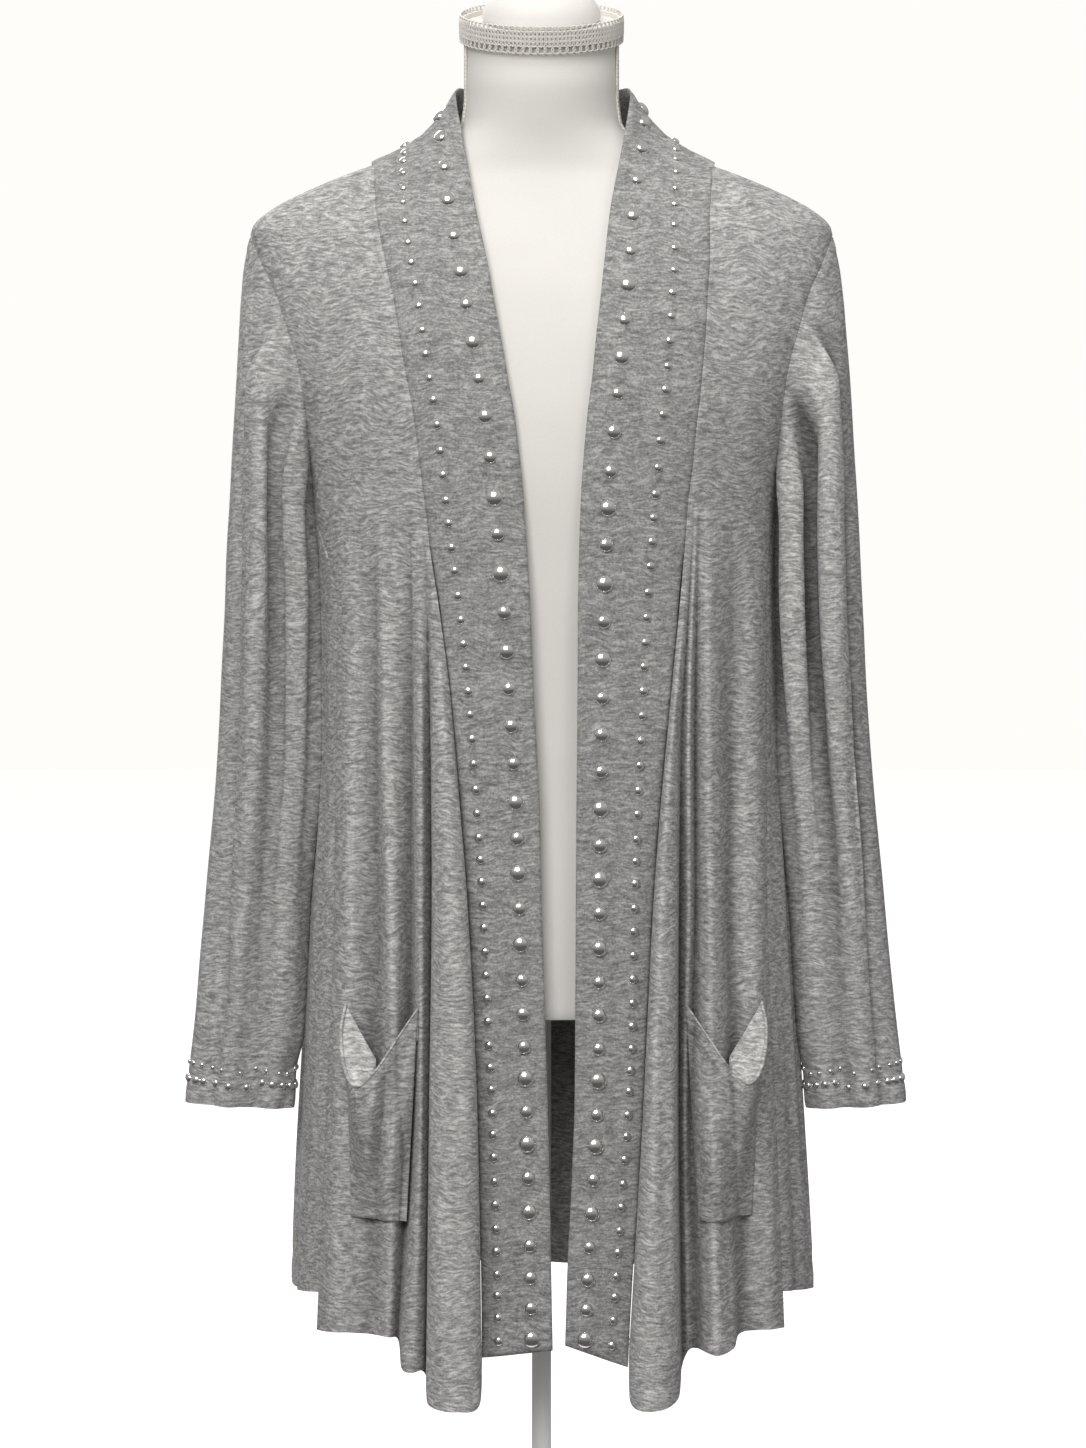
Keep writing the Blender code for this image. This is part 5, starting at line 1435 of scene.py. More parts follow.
def jersey(name, dark, mid, light, mottled=0.0, grain=1.0, painted_shade_amount=0.62):
    """Heather jersey: short pale and dark fibres lying nearly level, over a soft mottle, with a fine knit; the fold
    attribute paints shade into folds and a highlight onto ridges.
    """
    m = Nodes(name)
    m.shader.inputs["Roughness"].default_value = 0.93
    m.shader.inputs["Specular IOR Level"].default_value = 0.18
    m.shader.inputs["Sheen Weight"].default_value = 0.08
    m.shader.inputs["Sheen Roughness"].default_value = 0.5
    place = m.node("ShaderNodeTexCoord")
    # fibres wander: the place is pushed up and down by a slow noise
    wander = m.node("ShaderNodeTexNoise", Scale=26.0, Detail=2.0, Roughness=0.5)
    m.link(place.outputs["Object"], wander.inputs["Vector"])
    shift = m.node("ShaderNodeVectorMath", operation="MULTIPLY_ADD")
    shift.inputs[1].default_value = (0.003, 0.003, 0.019)
    m.link(wander.outputs["Color"], shift.inputs[0])
    m.link(place.outputs["Object"], shift.inputs[2])
    stretch = m.node("ShaderNodeMapping")
    stretch.inputs["Scale"].default_value = (1.0, 1.0, 4.6)
    m.link(shift.outputs["Vector"], stretch.inputs["Vector"])
    streak = m.node("ShaderNodeTexNoise", Scale=150.0, Detail=3.0, Roughness=0.62)
    m.link(stretch.outputs["Vector"], streak.inputs["Vector"])
    speck = m.node("ShaderNodeTexNoise", Scale=560.0, Detail=2.5, Roughness=0.7)
    m.link(place.outputs["Object"], speck.inputs["Vector"])
    cloud = m.node("ShaderNodeTexNoise", Scale=70.0, Detail=3.0, Roughness=0.6)
    m.link(stretch.outputs["Vector"], cloud.inputs["Vector"])
    blend = m.node("ShaderNodeMix", data_type="FLOAT")
    blend.inputs[0].default_value = 0.30 + 0.3 * mottled
    m.link(streak.outputs["Fac"], blend.inputs[2])
    m.link(speck.outputs["Fac"], blend.inputs[3])
    soft = m.node("ShaderNodeMix", data_type="FLOAT")
    soft.inputs[0].default_value = 0.18 + 0.10 * mottled
    m.link(blend.outputs[0], soft.inputs[2])
    m.link(cloud.outputs["Fac"], soft.inputs[3])
    tone = m.node("ShaderNodeValToRGB")
    ramp_ = tone.color_ramp
    ramp_.elements[0].position, ramp_.elements[0].color = 0.385, (*dark, 1)
    ramp_.elements[1].position, ramp_.elements[1].color = 0.615, (*light, 1)
    middle = ramp_.elements.new(0.50)
    middle.color = (*mid, 1)
    m.link(soft.outputs[0], tone.inputs["Fac"])
    # painted shade: cloth in the depth of a fold is painted darker, and a painted highlight makes it a little paler
    # along a ridge
    fold = m.node("ShaderNodeAttribute")
    fold.attribute_name = "fold"
    painted_shade_factor = m.node("ShaderNodeMapRange")
    painted_shade_factor.inputs["From Min"].default_value = -1.0
    painted_shade_factor.inputs["From Max"].default_value = 1.0
    painted_shade_factor.inputs["To Min"].default_value = 1.0 + painted_shade_amount
    painted_shade_factor.inputs["To Max"].default_value = 1.0 - painted_shade_amount
    m.link(fold.outputs["Fac"], painted_shade_factor.inputs["Value"])
    shade = m.node("ShaderNodeVectorMath", operation="SCALE")
    m.link(tone.outputs["Color"], shade.inputs[0])
    m.link(painted_shade_factor.outputs["Result"], shade.inputs["Scale"])
    m.link(shade.outputs["Vector"], m.shader.inputs["Base Color"])
    knit = m.node("ShaderNodeTexNoise", Scale=1500.0, Detail=2.0, Roughness=0.6)
    m.link(place.outputs["Object"], knit.inputs["Vector"])
    height = m.node("ShaderNodeMix", data_type="FLOAT")
    height.inputs[0].default_value = 0.5
    m.link(streak.outputs["Fac"], height.inputs[2])
    m.link(knit.outputs["Fac"], height.inputs[3])
    bump = m.node("ShaderNodeBump", Strength=0.35 * grain, Distance=0.0005)
    m.link(height.outputs[0], bump.inputs["Height"])
    m.link(bump.outputs["Normal"], m.shader.inputs["Normal"])
    return m.mat


def cotton(name, colour, shade, weave=1400.0, rough=0.85, bump_by=0.12):
    """Stretched cream cover: plain fine weave with a faint unevenness."""
    m = Nodes(name)
    m.shader.inputs["Roughness"].default_value = rough
    m.shader.inputs["Specular IOR Level"].default_value = 0.25
    m.shader.inputs["Sheen Weight"].default_value = 0.08
    place = m.node("ShaderNodeTexCoord")
    soft = m.node("ShaderNodeTexNoise", Scale=9.0, Detail=3.0)
    fine = m.node("ShaderNodeTexNoise", Scale=weave, Detail=2.0)
    m.link(place.outputs["Object"], soft.inputs["Vector"])
    m.link(place.outputs["Object"], fine.inputs["Vector"])
    mix = m.node("ShaderNodeMix", data_type="FLOAT")
    mix.inputs[0].default_value = 0.35
    m.link(soft.outputs["Fac"], mix.inputs[2])
    m.link(fine.outputs["Fac"], mix.inputs[3])
    tone = m.node("ShaderNodeValToRGB")
    tone.color_ramp.elements[0].position, tone.color_ramp.elements[0].color = 0.35, (*shade, 1)
    tone.color_ramp.elements[1].position, tone.color_ramp.elements[1].color = 0.62, (*colour, 1)
    m.link(mix.outputs[0], tone.inputs["Fac"])
    m.link(tone.outputs["Color"], m.shader.inputs["Base Color"])
    bump = m.node("ShaderNodeBump", Strength=bump_by, Distance=0.0004)
    m.link(fine.outputs["Fac"], bump.inputs["Height"])
    m.link(bump.outputs["Normal"], m.shader.inputs["Normal"])
    return m.mat


def polished(name, colour, rough, dull):
    """Silver stud: polished, with faint wear that dulls it in patches."""
    m = Nodes(name)
    m.shader.inputs["Metallic"].default_value = 1.0
    place = m.node("ShaderNodeTexCoord")
    wear = m.node("ShaderNodeTexNoise", Scale=700.0, Detail=3.0)
    m.link(place.outputs["Object"], wear.inputs["Vector"])
    tone = m.node("ShaderNodeValToRGB")
    tone.color_ramp.elements[0].position, tone.color_ramp.elements[0].color = 0.35, (*dull, 1)
    tone.color_ramp.elements[1].position, tone.color_ramp.elements[1].color = 0.60, (*colour, 1)
    m.link(wear.outputs["Fac"], tone.inputs["Fac"])
    m.link(tone.outputs["Color"], m.shader.inputs["Base Color"])
    gloss = m.node("ShaderNodeMapRange")
    gloss.inputs["To Min"].default_value = rough * 1.5
    gloss.inputs["To Max"].default_value = rough
    m.link(wear.outputs["Fac"], gloss.inputs["Value"])
    m.link(gloss.outputs["Result"], m.shader.inputs["Roughness"])
    return m.mat


def paint(name, colour, shade, rough):
    m = Nodes(name)
    m.shader.inputs["Specular IOR Level"].default_value = 0.4
    place = m.node("ShaderNodeTexCoord")
    peel = m.node("ShaderNodeTexNoise", Scale=260.0, Detail=2.0)
    wear = m.node("ShaderNodeTexNoise", Scale=22.0, Detail=4.0)
    m.link(place.outputs["Object"], peel.inputs["Vector"])
    m.link(place.outputs["Object"], wear.inputs["Vector"])
    tone = m.node("ShaderNodeValToRGB")
    tone.color_ramp.elements[0].position, tone.color_ramp.elements[0].color = 0.30, (*shade, 1)
    tone.color_ramp.elements[1].position, tone.color_ramp.elements[1].color = 0.55, (*colour, 1)
    m.link(wear.outputs["Fac"], tone.inputs["Fac"])
    m.link(tone.outputs["Color"], m.shader.inputs["Base Color"])
    gloss = m.node("ShaderNodeMapRange")
    gloss.inputs["To Min"].default_value = rough * 1.25
    gloss.inputs["To Max"].default_value = rough * 0.85
    m.link(wear.outputs["Fac"], gloss.inputs["Value"])
    m.link(gloss.outputs["Result"], m.shader.inputs["Roughness"])
    bump = m.node("ShaderNodeBump", Strength=0.05, Distance=0.0003)
    m.link(peel.outputs["Fac"], bump.inputs["Height"])
    m.link(bump.outputs["Normal"], m.shader.inputs["Normal"])
    return m.mat


# ---------------------------------------------------------------- form, finer
def fine_form_rings(around=112, step=6.0):
    zs = np.array(column(FORM, 1))
    heights = np.linspace(zs[-1] + 3.0, zs[0], int((zs[0] - zs[-1]) / step))
    angle = np.arange(around) * 2 * math.pi / around
    rings = []

    def ring(z, scale=1.0, drop=0.0):
        half, lean, front, back, power = (follow(z, zs, column(FORM, i)) for i in (2, 3, 4, 5, 6))
        c, s = np.cos(angle), np.sin(angle)
        x = half * np.sign(c) * np.abs(c) ** (2 / power) * scale
        y = (np.where(s < 0, front, back) * np.sign(s) * np.abs(s) ** (2 / power)) * scale + lean
        return np.stack([x, y, np.full_like(x, z - drop)], -1) * MM

    rings.append(ring(zs[-1], 0.972))
    rings.append(ring(zs[-1] + 0.4, 0.990))
    for z in heights:
        rings.append(ring(z))
    top = np.array(rings[-1])
    last = neck_ring(NECK_RADIUS, 0.0, around)
    collar = neck_ring(NECK_RADIUS, -0.0195, around)
    for t in (0.3, 0.65, 1.0):
        rings.append(top * (1 - t) + collar * t)
    for t in (0.4, 0.94):
        rings.append(collar * (1 - t) + last * t)
    rings.append(last * 1.0)
    rings.append(neck_ring(NECK_RADIUS - 0.0015, 0.0004, around))
    return rings


def strip_on(path, normals, width, height, columns=7):
    """A raised braid strip laid along a path: a low arched band."""
    path, normals = np.asarray(path), unit(np.asarray(normals))
    d = unit(np.gradient(path, axis=0))
    side = unit(np.cross(d, normals))
    rows = []
    a = np.linspace(-1, 1, columns)
    for p, n, s in zip(path, normals, side):
        rows.append([p + s * w * width / 2 + n * (height * (1 - w * w) - 0.05 * MM) for w in a])
    return np.array(rows)


def chain_loops(path, normals, pitch, size, wire, segments=10, around=6):
    """Lace edge: small overlapping loops of cord along a path."""
    path, normals = np.asarray(path), unit(np.asarray(normals))
    step = np.linalg.norm(np.diff(path, axis=0), axis=1)
    at = np.concatenate([[0], np.cumsum(step)])
    verts, faces = [], []
    count = int(at[-1] / pitch)
    for k in range(count):
        a = (k + 0.5) / count * at[-1]
        p = np.array([np.interp(a, at, path[:, c]) for c in range(3)])
        n = unit(np.array([np.interp(a, at, normals[:, c]) for c in range(3)]))
        q = np.array([np.interp(a + 0.0005, at, path[:, c]) for c in range(3)])
        d = unit(q - p + 1e-12)
        b = np.cross(n, d)
        start = len(verts)
        for i in range(segments):
            t = i / segments * 2 * math.pi
            c = p + d * math.cos(t) * size * 0.62 + b * math.sin(t) * size * 0.5
            out = d * math.cos(t) + b * math.sin(t)
            for j in range(around):
                f = j / around * 2 * math.pi
                verts.append(c + out * math.cos(f) * wire + n * math.sin(f) * wire)
        for i in range(segments):
            for j in range(around):
                i2, j2 = (i + 1) % segments, (j + 1) % around
                faces.append((start + i * around + j, start + i2 * around + j,
                              start + i2 * around + j2, start + i * around + j2))
    return np.array(verts), faces


def cover_at(x, z, front=True):
    zs = np.array(column(FORM, 1))
    half, lean, fr, bk, power = (follow(z / MM, zs, column(FORM, i)) for i in (2, 3, 4, 5, 6))
    arc = np.maximum(1 - np.clip(np.abs(x / MM) / half, 0, 1) ** power, 0) ** (1 / power)
    return (lean - fr * arc if front else lean + bk * arc) * MM


# ---------------------------------------------------------------- light
FILL, FILL_BELOW = 0.42, 0.22
LIGHTS = (
    # name, place, aim, size, power, whether it shows in polished metal
    ("key", (-0.9, -3.3, 2.9), (0, 0, 0.80), 2.3, 118, True),
    ("front_fill", (1.9, -3.0, 1.3), (0, 0, 0.7), 1.6, 12, False),
    ("top", (0.0, -0.2, 3.2), (0, 0, 0.9), 1.4, 20, False),
    ("back", (-1.2, 3.2, 2.4), (0, 0, 0.75), 1.8, 75, True),
)


def mouth_shade(side, grid, tone):
    """The front lies in shade where the pocket's mouth hangs open over it."""
    x, z = np.abs(grid[..., 0]), grid[..., 2]
    _, top, bottom, in_top, in_bottom, out_top, out_bottom = next(r for r in POCKET_SIDES if r[0] == side)
    places = column(POCKET_RIM, 1)
    p = np.clip((x / MM - out_top) / (in_top - out_top), 0, 1)
    drop = np.interp(p, places, column(POCKET_RIM, 3))
    level = (top - drop) * MM
    across = ramp(p / 0.12) * ramp((1 - p) / 0.12)
    painted_shade_amount = np.exp(-np.maximum(z - level, 0) / 0.014) * across * ramp((z - level + 0.012) / 0.010)
    return tone + 0.55 * np.concatenate([painted_shade_amount.reshape(-1), painted_shade_amount.reshape(-1)])


# ---------------------------------------------------------------- making the pieces
def main():
    body = "root"
    grey = jersey("heather_jersey", (0.185, 0.182, 0.176), (0.345, 0.340, 0.331), (0.600, 0.594, 0.580))
    mottled = jersey("heather_band", (0.150, 0.148, 0.143), (0.285, 0.281, 0.273), (0.500, 0.495, 0.483), mottled=0.5)
    thread = jersey("grey_thread", (0.17, 0.168, 0.163), (0.25, 0.247, 0.24), (0.36, 0.355, 0.345))
    silver = polished("silver_stud", (0.95, 0.94, 0.92), 0.13, (0.84, 0.83, 0.81))
    cream = cotton("cream_cover", (0.775, 0.752, 0.714), (0.725, 0.702, 0.662), weave=900.0, bump_by=0.2)
    braid = cotton("cream_braid", (0.88, 0.85, 0.80), (0.66, 0.63, 0.58), weave=2200.0, rough=0.8, bump_by=0.4)
    coat = paint("white_coat", (0.93, 0.925, 0.91), (0.89, 0.885, 0.87), 0.38)

    made = {}

    def keep(name, shape, mat, node, slot_name, sharp=75.0, tone=None):
        obj = mesh_piece(name, shape, mat, sharp, tone=tone)
        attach(obj, body)
        if node:
            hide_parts(node)
        made[name] = obj
        return obj

    # cloth
    back_grid_fine = fine_back_grid(130, 190)
    # painted fold shade and ridge highlight on the back
    tone = painted_fold_shade(back_grid_fine).reshape(2, -1)
    z = back_grid_fine[..., 2].reshape(-1)
    n = unit(normals_of(back_grid_fine, False)).reshape(-1, 3)
    inner = 0 if np.mean(n[:, 1] * np.sign(back_grid_fine[..., 1].reshape(-1) + 1e-9)) < 0 else 1
    # painted shade on the back's inner face, darker higher up towards the form's underside
    tone[inner] += 0.25 + 0.75 * ramp((z - 0.27) / 0.14)
    keep("back_cloth", outward(thick_wall(back_grid_fine, CLOTH)), grey, "back", "jersey", tone=np.clip(tone, -0.3, 1.25).reshape(-1))
    fronts = {}
    for side in ("right", "left"):
        grid = fine_front_grid(side, 190, 11)
        fronts[side] = grid
        # painted fold shade and ridge highlight, and painted shade under the pocket's mouth
        keep("front_%s_cloth" % side, outward(thick_wall(grid, CLOTH)), grey, "front_" + side, "jersey", tone=mouth_shade(side, grid, painted_fold_shade(grid)))

    for side in ("right", "left"):
        grid, along, w = band_surface(side, 330)
        # painted fold shade and ridge highlight on the band
        keep("band_%s_cloth" % side, outward(thick_wall(grid, BAND_CLOTH, soft_edge=1.8 * MM)), mottled, "band_" + side, "jersey", tone=painted_fold_shade(grid, full=6.0))
        spots = stud_places(side, "large", grid, along) + stud_places(side, "small", grid, along)
        lifted = [(p + n * BAND_CLOTH / 2, n, s) for p, n, s in spots]
        studs = mesh_piece("band_%s_studs" % side, outward(domes(lifted)), silver, 50)
        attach(studs, body)

    for side in ("right", "left"):
        grid, folds = fine_sleeve_grid(side, 150, 132)
        # painted shade in the sleeve's folds and in the crevice by the body, and painted highlight on its ridges
        tone = painted_fold_shade(grid, True) * 0.7
        tone[: folds.size] += folds.reshape(-1)
        keep("sleeve_%s_cloth" % side, outward(thick_wall(grid, CLOTH, closed=True)), grey, "sleeve_" + side, "jersey", tone=np.clip(tone, -0.35, 1.1))
        n = unit(normals_of(grid, True))
        if np.mean(np.sum(n * (grid - grid.mean(1, keepdims=True)), -1)) < 0:
            n = -n
        # cuff studs in two staggered rows
        spots = []
        rows = len(grid)
        cuff_z = grid[-1, :, 2]
        for lift, count, size, seed in ((0.0165, 22, 6.4, 3), (0.0270, 22, 3.8, 4)):
            rng = np.random.RandomState(seed)
            for k in range(count):
                j = int((k + (0.5 if seed == 4 else 0.0) + rng.uniform(-0.12, 0.12)) / count * 132) % 132
                i = int(np.argmin(np.abs(grid[:, j, 2] - cuff_z[j] - lift)))
                spots.append((grid[i, j] + n[i, j] * CLOTH / 2, n[i, j], size * MM * rng.uniform(0.92, 1.08)))
        studs = mesh_piece("cuff_%s_studs" % side, outward(domes(spots, rings=5, around=14)), silver, 50)
        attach(studs, body)

    for side in ("right", "left"):
        grid, rim_row = pocket_surface(side, 60, 84, 14)
        # painted fold shade and ridge highlight on the pocket
        tone = painted_fold_shade(grid, reach=0.009, full=2.0)
        rows, cols = grid.shape[:2]
        # painted highlight: the facing turned out over the rim loses its fold shade and is painted lighter, less so on
        # the two rows at the rim
        facing = np.zeros((rows, cols))
        edge = rows - rim_row                    # rows of the facing come first, down to the rim
        vee = int(0.62 * (cols - 1))
        facing[:edge, :vee] = 1.0
        facing[edge:edge + 2, :vee] = 0.6
        shade = np.concatenate([facing.reshape(-1), facing.reshape(-1)])
        tone = tone * (1 - shade) - 0.42 * shade
        # painted highlight on the strip just under the rim, and painted shade along the stitched groove below it
        painted_band_highlight_and_shade = np.zeros((rows, cols))
        painted_band_highlight_and_shade[edge + 2:edge + 5] = -0.10
        painted_band_highlight_and_shade[edge + 5:edge + 7] = 0.30
        tone = tone + np.concatenate([painted_band_highlight_and_shade.reshape(-1), painted_band_highlight_and_shade.reshape(-1)])
        keep("pocket_%s_cloth" % side, outward(thick_wall(grid, 1.1 * MM, soft_edge=0.9 * MM)), grey, "pocket_" + side, "jersey", tone=tone)
        # the rolled rim, fullest where the mouth sags
        rim = grid[edge] + np.array([0, -0.5 * MM, 0.2 * MM])
        spread = np.linspace(0, 1, cols)
        thick = (0.75 + 0.75 * np.exp(-((spread - 0.25) / 0.26) ** 2)) * MM
        verts, faces = [], []
        around = 10
        run = unit(np.gradient(rim, axis=0))
        for i in range(cols):
            side_way = unit(np.cross(run[i], np.array([0.0, -1.0, 0.0])))
            up = unit(np.cross(side_way, run[i]))
            for j in range(around):
                f = 2 * math.pi * j / around
                verts.append(rim[i] + (side_way * math.cos(f) + up * math.sin(f)) * thick[i])
        for i in range(cols - 1):
            for j in range(around):
                j2 = (j + 1) % around
                faces.append((i * around + j, i * around + j2, (i + 1) * around + j2, (i + 1) * around + j))
        faces.append(tuple(range(around)))
        faces.append(tuple(reversed(range((cols - 1) * around, cols * around))))
        # painted highlight along the rolled rim
        roll = mesh_piece("pocket_%s_rim" % side, outward((np.array(verts), faces)), grey, 60,
                          tone=np.full(len(verts), -0.25))
        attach(roll, body)
        # the stitch line that holds the rim's turning
        n = unit(normals_of(grid, False))
        if np.mean(n[..., 1]) > 0:
            n = -n
        row = edge + int(round((1 - 0.915) * 60))
        for k, at_row in enumerate((row, row + 2)):
            line = grid[at_row, int(0.30 * cols):]
            away = n[at_row, int(0.30 * cols):]
            shape = dashes(line + away * 0.55 * MM, away, 3.0 * MM, 2.3 * MM, 0.42 * MM, 0.28 * MM)
            obj = mesh_piece("pocket_%s_stitch_%d" % (side, k), outward(shape), thread, 60)
            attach(obj, body)

    # hem stitches, two lines a few millimetres apart
    def stitch_line(name, grid, height, closed=False, pitch=3.0, length=2.3, turn=1.0):
        n = unit(normals_of(grid, closed))
        out = grid - grid.mean((0, 1))
        if np.mean(n[..., 1] * np.sign(grid[..., 1])) < 0:
            n = -n
        points, ns = [], []
        cols = grid.shape[1]
        for j in range(cols + (1 if closed else 0)):
            j = j % cols
            z = grid[:, j, 2]
            i = int(np.argmin(np.abs(z - z[-1] - height)))
            i = min(max(i, 1), len(z) - 2)
            k = i + 1 if z[i] > z[-1] + height else i - 1
            t = np.clip((z[i] - z[-1] - height) / (z[i] - z[k] + 1e-12), 0, 1)
            points.append(grid[i, j] * (1 - t) + grid[k, j] * t)
            ns.append(n[i, j])
        points, ns = np.array(points), np.array(ns)
        shape = dashes(points + ns * CLOTH / 2 * turn, ns * turn, pitch * MM, length * MM, 0.42 * MM, 0.28 * MM)
        obj = mesh_piece(name, outward(shape), thread, 60)
        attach(obj, body)

    for side in ("right", "left"):
        stitch_line("front_%s_hem_stitch_low" % side, fronts[side], 0.0175)
        stitch_line("front_%s_hem_stitch_high" % side, fronts[side], 0.0205)
    stitch_line("back_hem_stitch_low", back_grid_fine, 0.0185)
    stitch_line("back_hem_stitch_high", back_grid_fine, 0.0215)

    # dress form
    form = keep("form_cover", outward(loft(fine_form_rings())), cream, "form_torso", "form_cover", 50)
    ring_path, ring_n = [], []
    for k in range(241):
        a = k / 240 * 2 * math.pi
        tilt = math.radians(NECK_TILT)
        up = -0.0055
        r = NECK_RADIUS + 2 * GAP
        x, q = r * math.cos(a), r * math.sin(a)
        ring_path.append([x, NECK_LEAN + q * math.cos(tilt) - up * math.sin(tilt), NECK_TOP_Z + q * math.sin(tilt) + up * math.cos(tilt)])
        ring_n.append([math.cos(a), math.sin(a) * math.cos(tilt), math.sin(a) * math.sin(tilt)])
    ring_path, ring_n = np.array(ring_path), np.array(ring_n)
    axis = np.array([0.0, -math.sin(math.radians(NECK_TILT)), math.cos(math.radians(NECK_TILT))])
    rings = []
    profile = ((0.0, 0.0088), (0.0013, 0.0090), (0.0019, 0.0080), (0.0016, 0.0066), (0.0020, 0.0050), (0.0021, 0.0035),
               (0.0017, 0.0022), (0.0020, 0.0010), (0.0019, -0.0004), (0.0013, -0.0018), (0.0, -0.0020))
    around = 96
    for rr, h in profile:
        rings.append([neck_ring(NECK_RADIUS + 0.0002 + rr, h - 0.0055, around)[j] for j in range(around)])
    rings = np.array(rings)
    m = len(profile)
    faces = []
    for i in range(m):
        k = (i + 1) % m
        for j in range(around):
            j2 = (j + 1) % around
            faces.append((i * around + j, i * around + j2, k * around + j2, k * around + j))
    keep("form_trim_band", outward((rings.reshape(-1, 3), faces)), braid, "form_neck_trim", "braid", 60)
    for name, shift, size, pitch in (("low", -0.0042, 0.0056, 0.0052), ("high", 0.0100, 0.0042, 0.0044)):
        loops = mesh_piece("form_trim_lace_" + name, chain_loops(ring_path + axis * shift + ring_n * 0.0021, ring_n, pitch, size, 0.00062), braid, 60)
        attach(loops, body)
    for k, shift in enumerate((0.0000, 0.0034, 0.0068)):
        plait = chain_loops(ring_path + axis * shift + ring_n * 0.0024, ring_n, 0.0029, 0.0042, 0.00055, 8, 5)
        cord = mesh_piece("form_trim_cord_%d" % k, plait, braid, 60)
        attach(cord, body)

    cap_profile = [(0.90 + 0.10 * math.sin(t * math.pi / 2), 0.004 * t) for t in np.linspace(0, 1, 6)]
    cap_profile += [(math.cos(t) ** 0.75, 0.004 + 0.022 * math.sin(t)) for t in np.linspace(0.05, math.pi / 2 - 0.03, 26)]
    cap = [neck_ring(CAP_RADIUS * r, GAP + h, 96) for r, h in cap_profile]
    keep("form_cap_cover", outward(loft(cap)), cream, "form_neck_cap", "form_cover", 50)

    # braid down the sides of the neck of the form
    for sign, name in ((-1, "right"), (1, "left")):
        pts, ns = [], []
        for z in np.linspace(1.110, 1.046, 34):
            half = float(follow(z / MM, column(FORM, 1), column(FORM, 2))) * MM
            lean = float(follow(z / MM, column(FORM, 1), column(FORM, 3))) * MM
            a = math.radians(13)
            pts.append([sign * half * math.cos(a) * 1.0, lean - half * math.sin(a), z])
            ns.append([sign * math.cos(a), -math.sin(a), 0.0])
        seam = chain_loops(np.array(pts) + np.array(ns) * 0.0006, np.array(ns), 0.0029, 0.0048, 0.00065, 8, 5)
        obj = mesh_piece("form_neck_braid_" + name, seam, braid, 60)
        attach(obj, body)

    # stand: the CAD tube and foot, painted
    for node in ("form_pole", "form_base"):
        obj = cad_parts[node]
        for spot in obj.material_slots:
            spot.material = coat

    # width of the sheet each cloth piece would be cut from, widened to fit its area; it is worked out and not kept
    cuts = {
        "back_cloth": (0.62, 0.83), "front_right_cloth": (0.30, 0.87), "front_left_cloth": (0.30, 0.87),
        "band_right_cloth": (0.075, 0.95), "band_left_cloth": (0.075, 0.95),
        "sleeve_right_cloth": (0.34, 0.64), "sleeve_left_cloth": (0.34, 0.64),
        "pocket_right_cloth": (0.075, 0.20), "pocket_left_cloth": (0.075, 0.20),
    }
    for name, (width, length) in cuts.items():
        area = surface_area(made[name]) / 2
        width = max(width, area / length * 1.02)

    # floor, light, camera
    scene = bpy.context.scene

    def staged(name, verts, faces, colour, glow, base):
        mesh = bpy.data.meshes.new(name)
        mesh.from_pydata(verts, [], faces)
        mesh.update()
        obj = bpy.data.objects.new(name, mesh)
        scene.collection.objects.link(obj)
        m = Nodes(name)
        m.shader.inputs["Base Color"].default_value = (*base, 1)
        m.shader.inputs["Roughness"].default_value = 0.9
        m.shader.inputs["Specular IOR Level"].default_value = 0.1
        m.shader.inputs["Emission Color"].default_value = (*colour, 1)
        m.shader.inputs["Emission Strength"].default_value = glow
        mesh.materials.append(m.mat)
        return obj, m

    floor, _ = staged("floor", [(-9, -9, -0.0005), (9, -9, -0.0005), (9, 9, -0.0005), (-9, 9, -0.0005)],
                      [(0, 1, 2, 3)], (1.0, 0.985, 0.955), 1.0, (0.30, 0.298, 0.292))
    floor.visible_diffuse = floor.visible_glossy = False
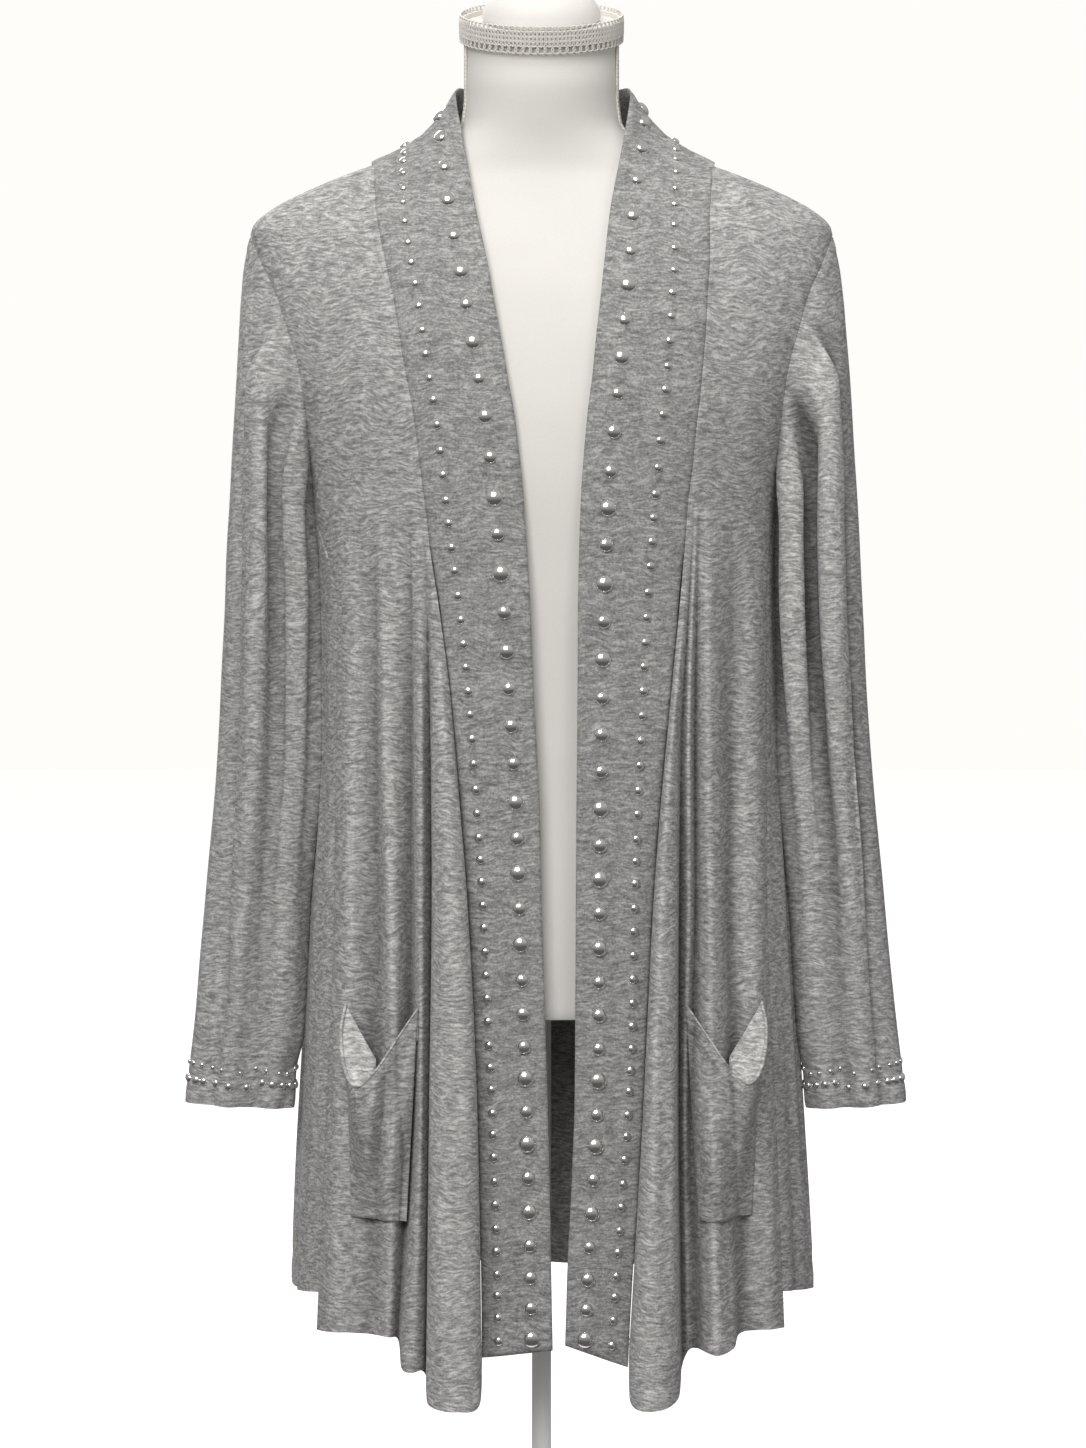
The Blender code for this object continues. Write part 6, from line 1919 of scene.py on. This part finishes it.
    # a dim, even dome of fill light round the set, brighter above than below
    rings, around = 14, 28
    verts = [(7 * math.sin(math.pi * i / rings) * math.cos(2 * math.pi * j / around),
              7 * math.sin(math.pi * i / rings) * math.sin(2 * math.pi * j / around),
              0.8 + 7 * math.cos(math.pi * i / rings)) for i in range(1, rings) for j in range(around)]
    faces = [(i * around + j, i * around + (j + 1) % around, (i + 1) * around + (j + 1) % around, (i + 1) * around + j)
             for i in range(rings - 2) for j in range(around)]
    faces += [tuple(range(around)), tuple(reversed(range((rings - 2) * around, (rings - 1) * around)))]
    dome, m = staged("fill_dome", verts, faces, (1.0, 0.99, 0.97), FILL, (0.0, 0.0, 0.0))
    dome.visible_camera = dome.visible_shadow = dome.visible_transmission = False
    place = m.node("ShaderNodeTexCoord")
    split = m.node("ShaderNodeSeparateXYZ")
    m.link(place.outputs["Object"], split.inputs[0])
    fall = m.node("ShaderNodeMapRange")
    fall.inputs["From Min"].default_value = -2.5
    fall.inputs["From Max"].default_value = 3.5
    fall.inputs["To Min"].default_value = FILL * FILL_BELOW
    fall.inputs["To Max"].default_value = FILL
    m.link(split.outputs["Z"], fall.inputs["Value"])
    m.link(fall.outputs["Result"], m.shader.inputs["Emission Strength"])
    m.mat.cycles.emission_sampling = "NONE"

    scene.view_settings.view_transform = "Standard"
    world = bpy.data.worlds.new("studio")
    scene.world = world
    world.use_nodes = True
    sky = world.node_tree.nodes["Background"]
    sky.inputs["Color"].default_value = (0.990, 0.983, 0.960, 1)
    sky.inputs["Strength"].default_value = 1.0
    world.cycles_visibility.diffuse = world.cycles_visibility.glossy = False

    def area_light(name, place, aim, size, power, shine=True, colour=(1, 1, 1)):
        data = bpy.data.lights.new(name, "AREA")
        data.energy, data.size, data.color = power, size, colour
        obj = bpy.data.objects.new(name, data)
        obj.location = place
        obj.rotation_euler = (Vector(aim) - Vector(place)).to_track_quat("-Z", "Y").to_euler()
        obj.visible_glossy = shine
        scene.collection.objects.link(obj)

    for spec in LIGHTS:
        area_light(*spec)

    lens = bpy.data.cameras.new("camera")
    lens.lens, lens.sensor_width = 110.0, 36.0
    lens.clip_end = 60
    cam = bpy.data.objects.new("camera", lens)
    cam.location = (0.0011, -3.2, 0.80)
    cam.rotation_euler = (math.radians(90 - 3.157), 0, 0)
    scene.collection.objects.link(cam)
    scene.camera = cam


main()
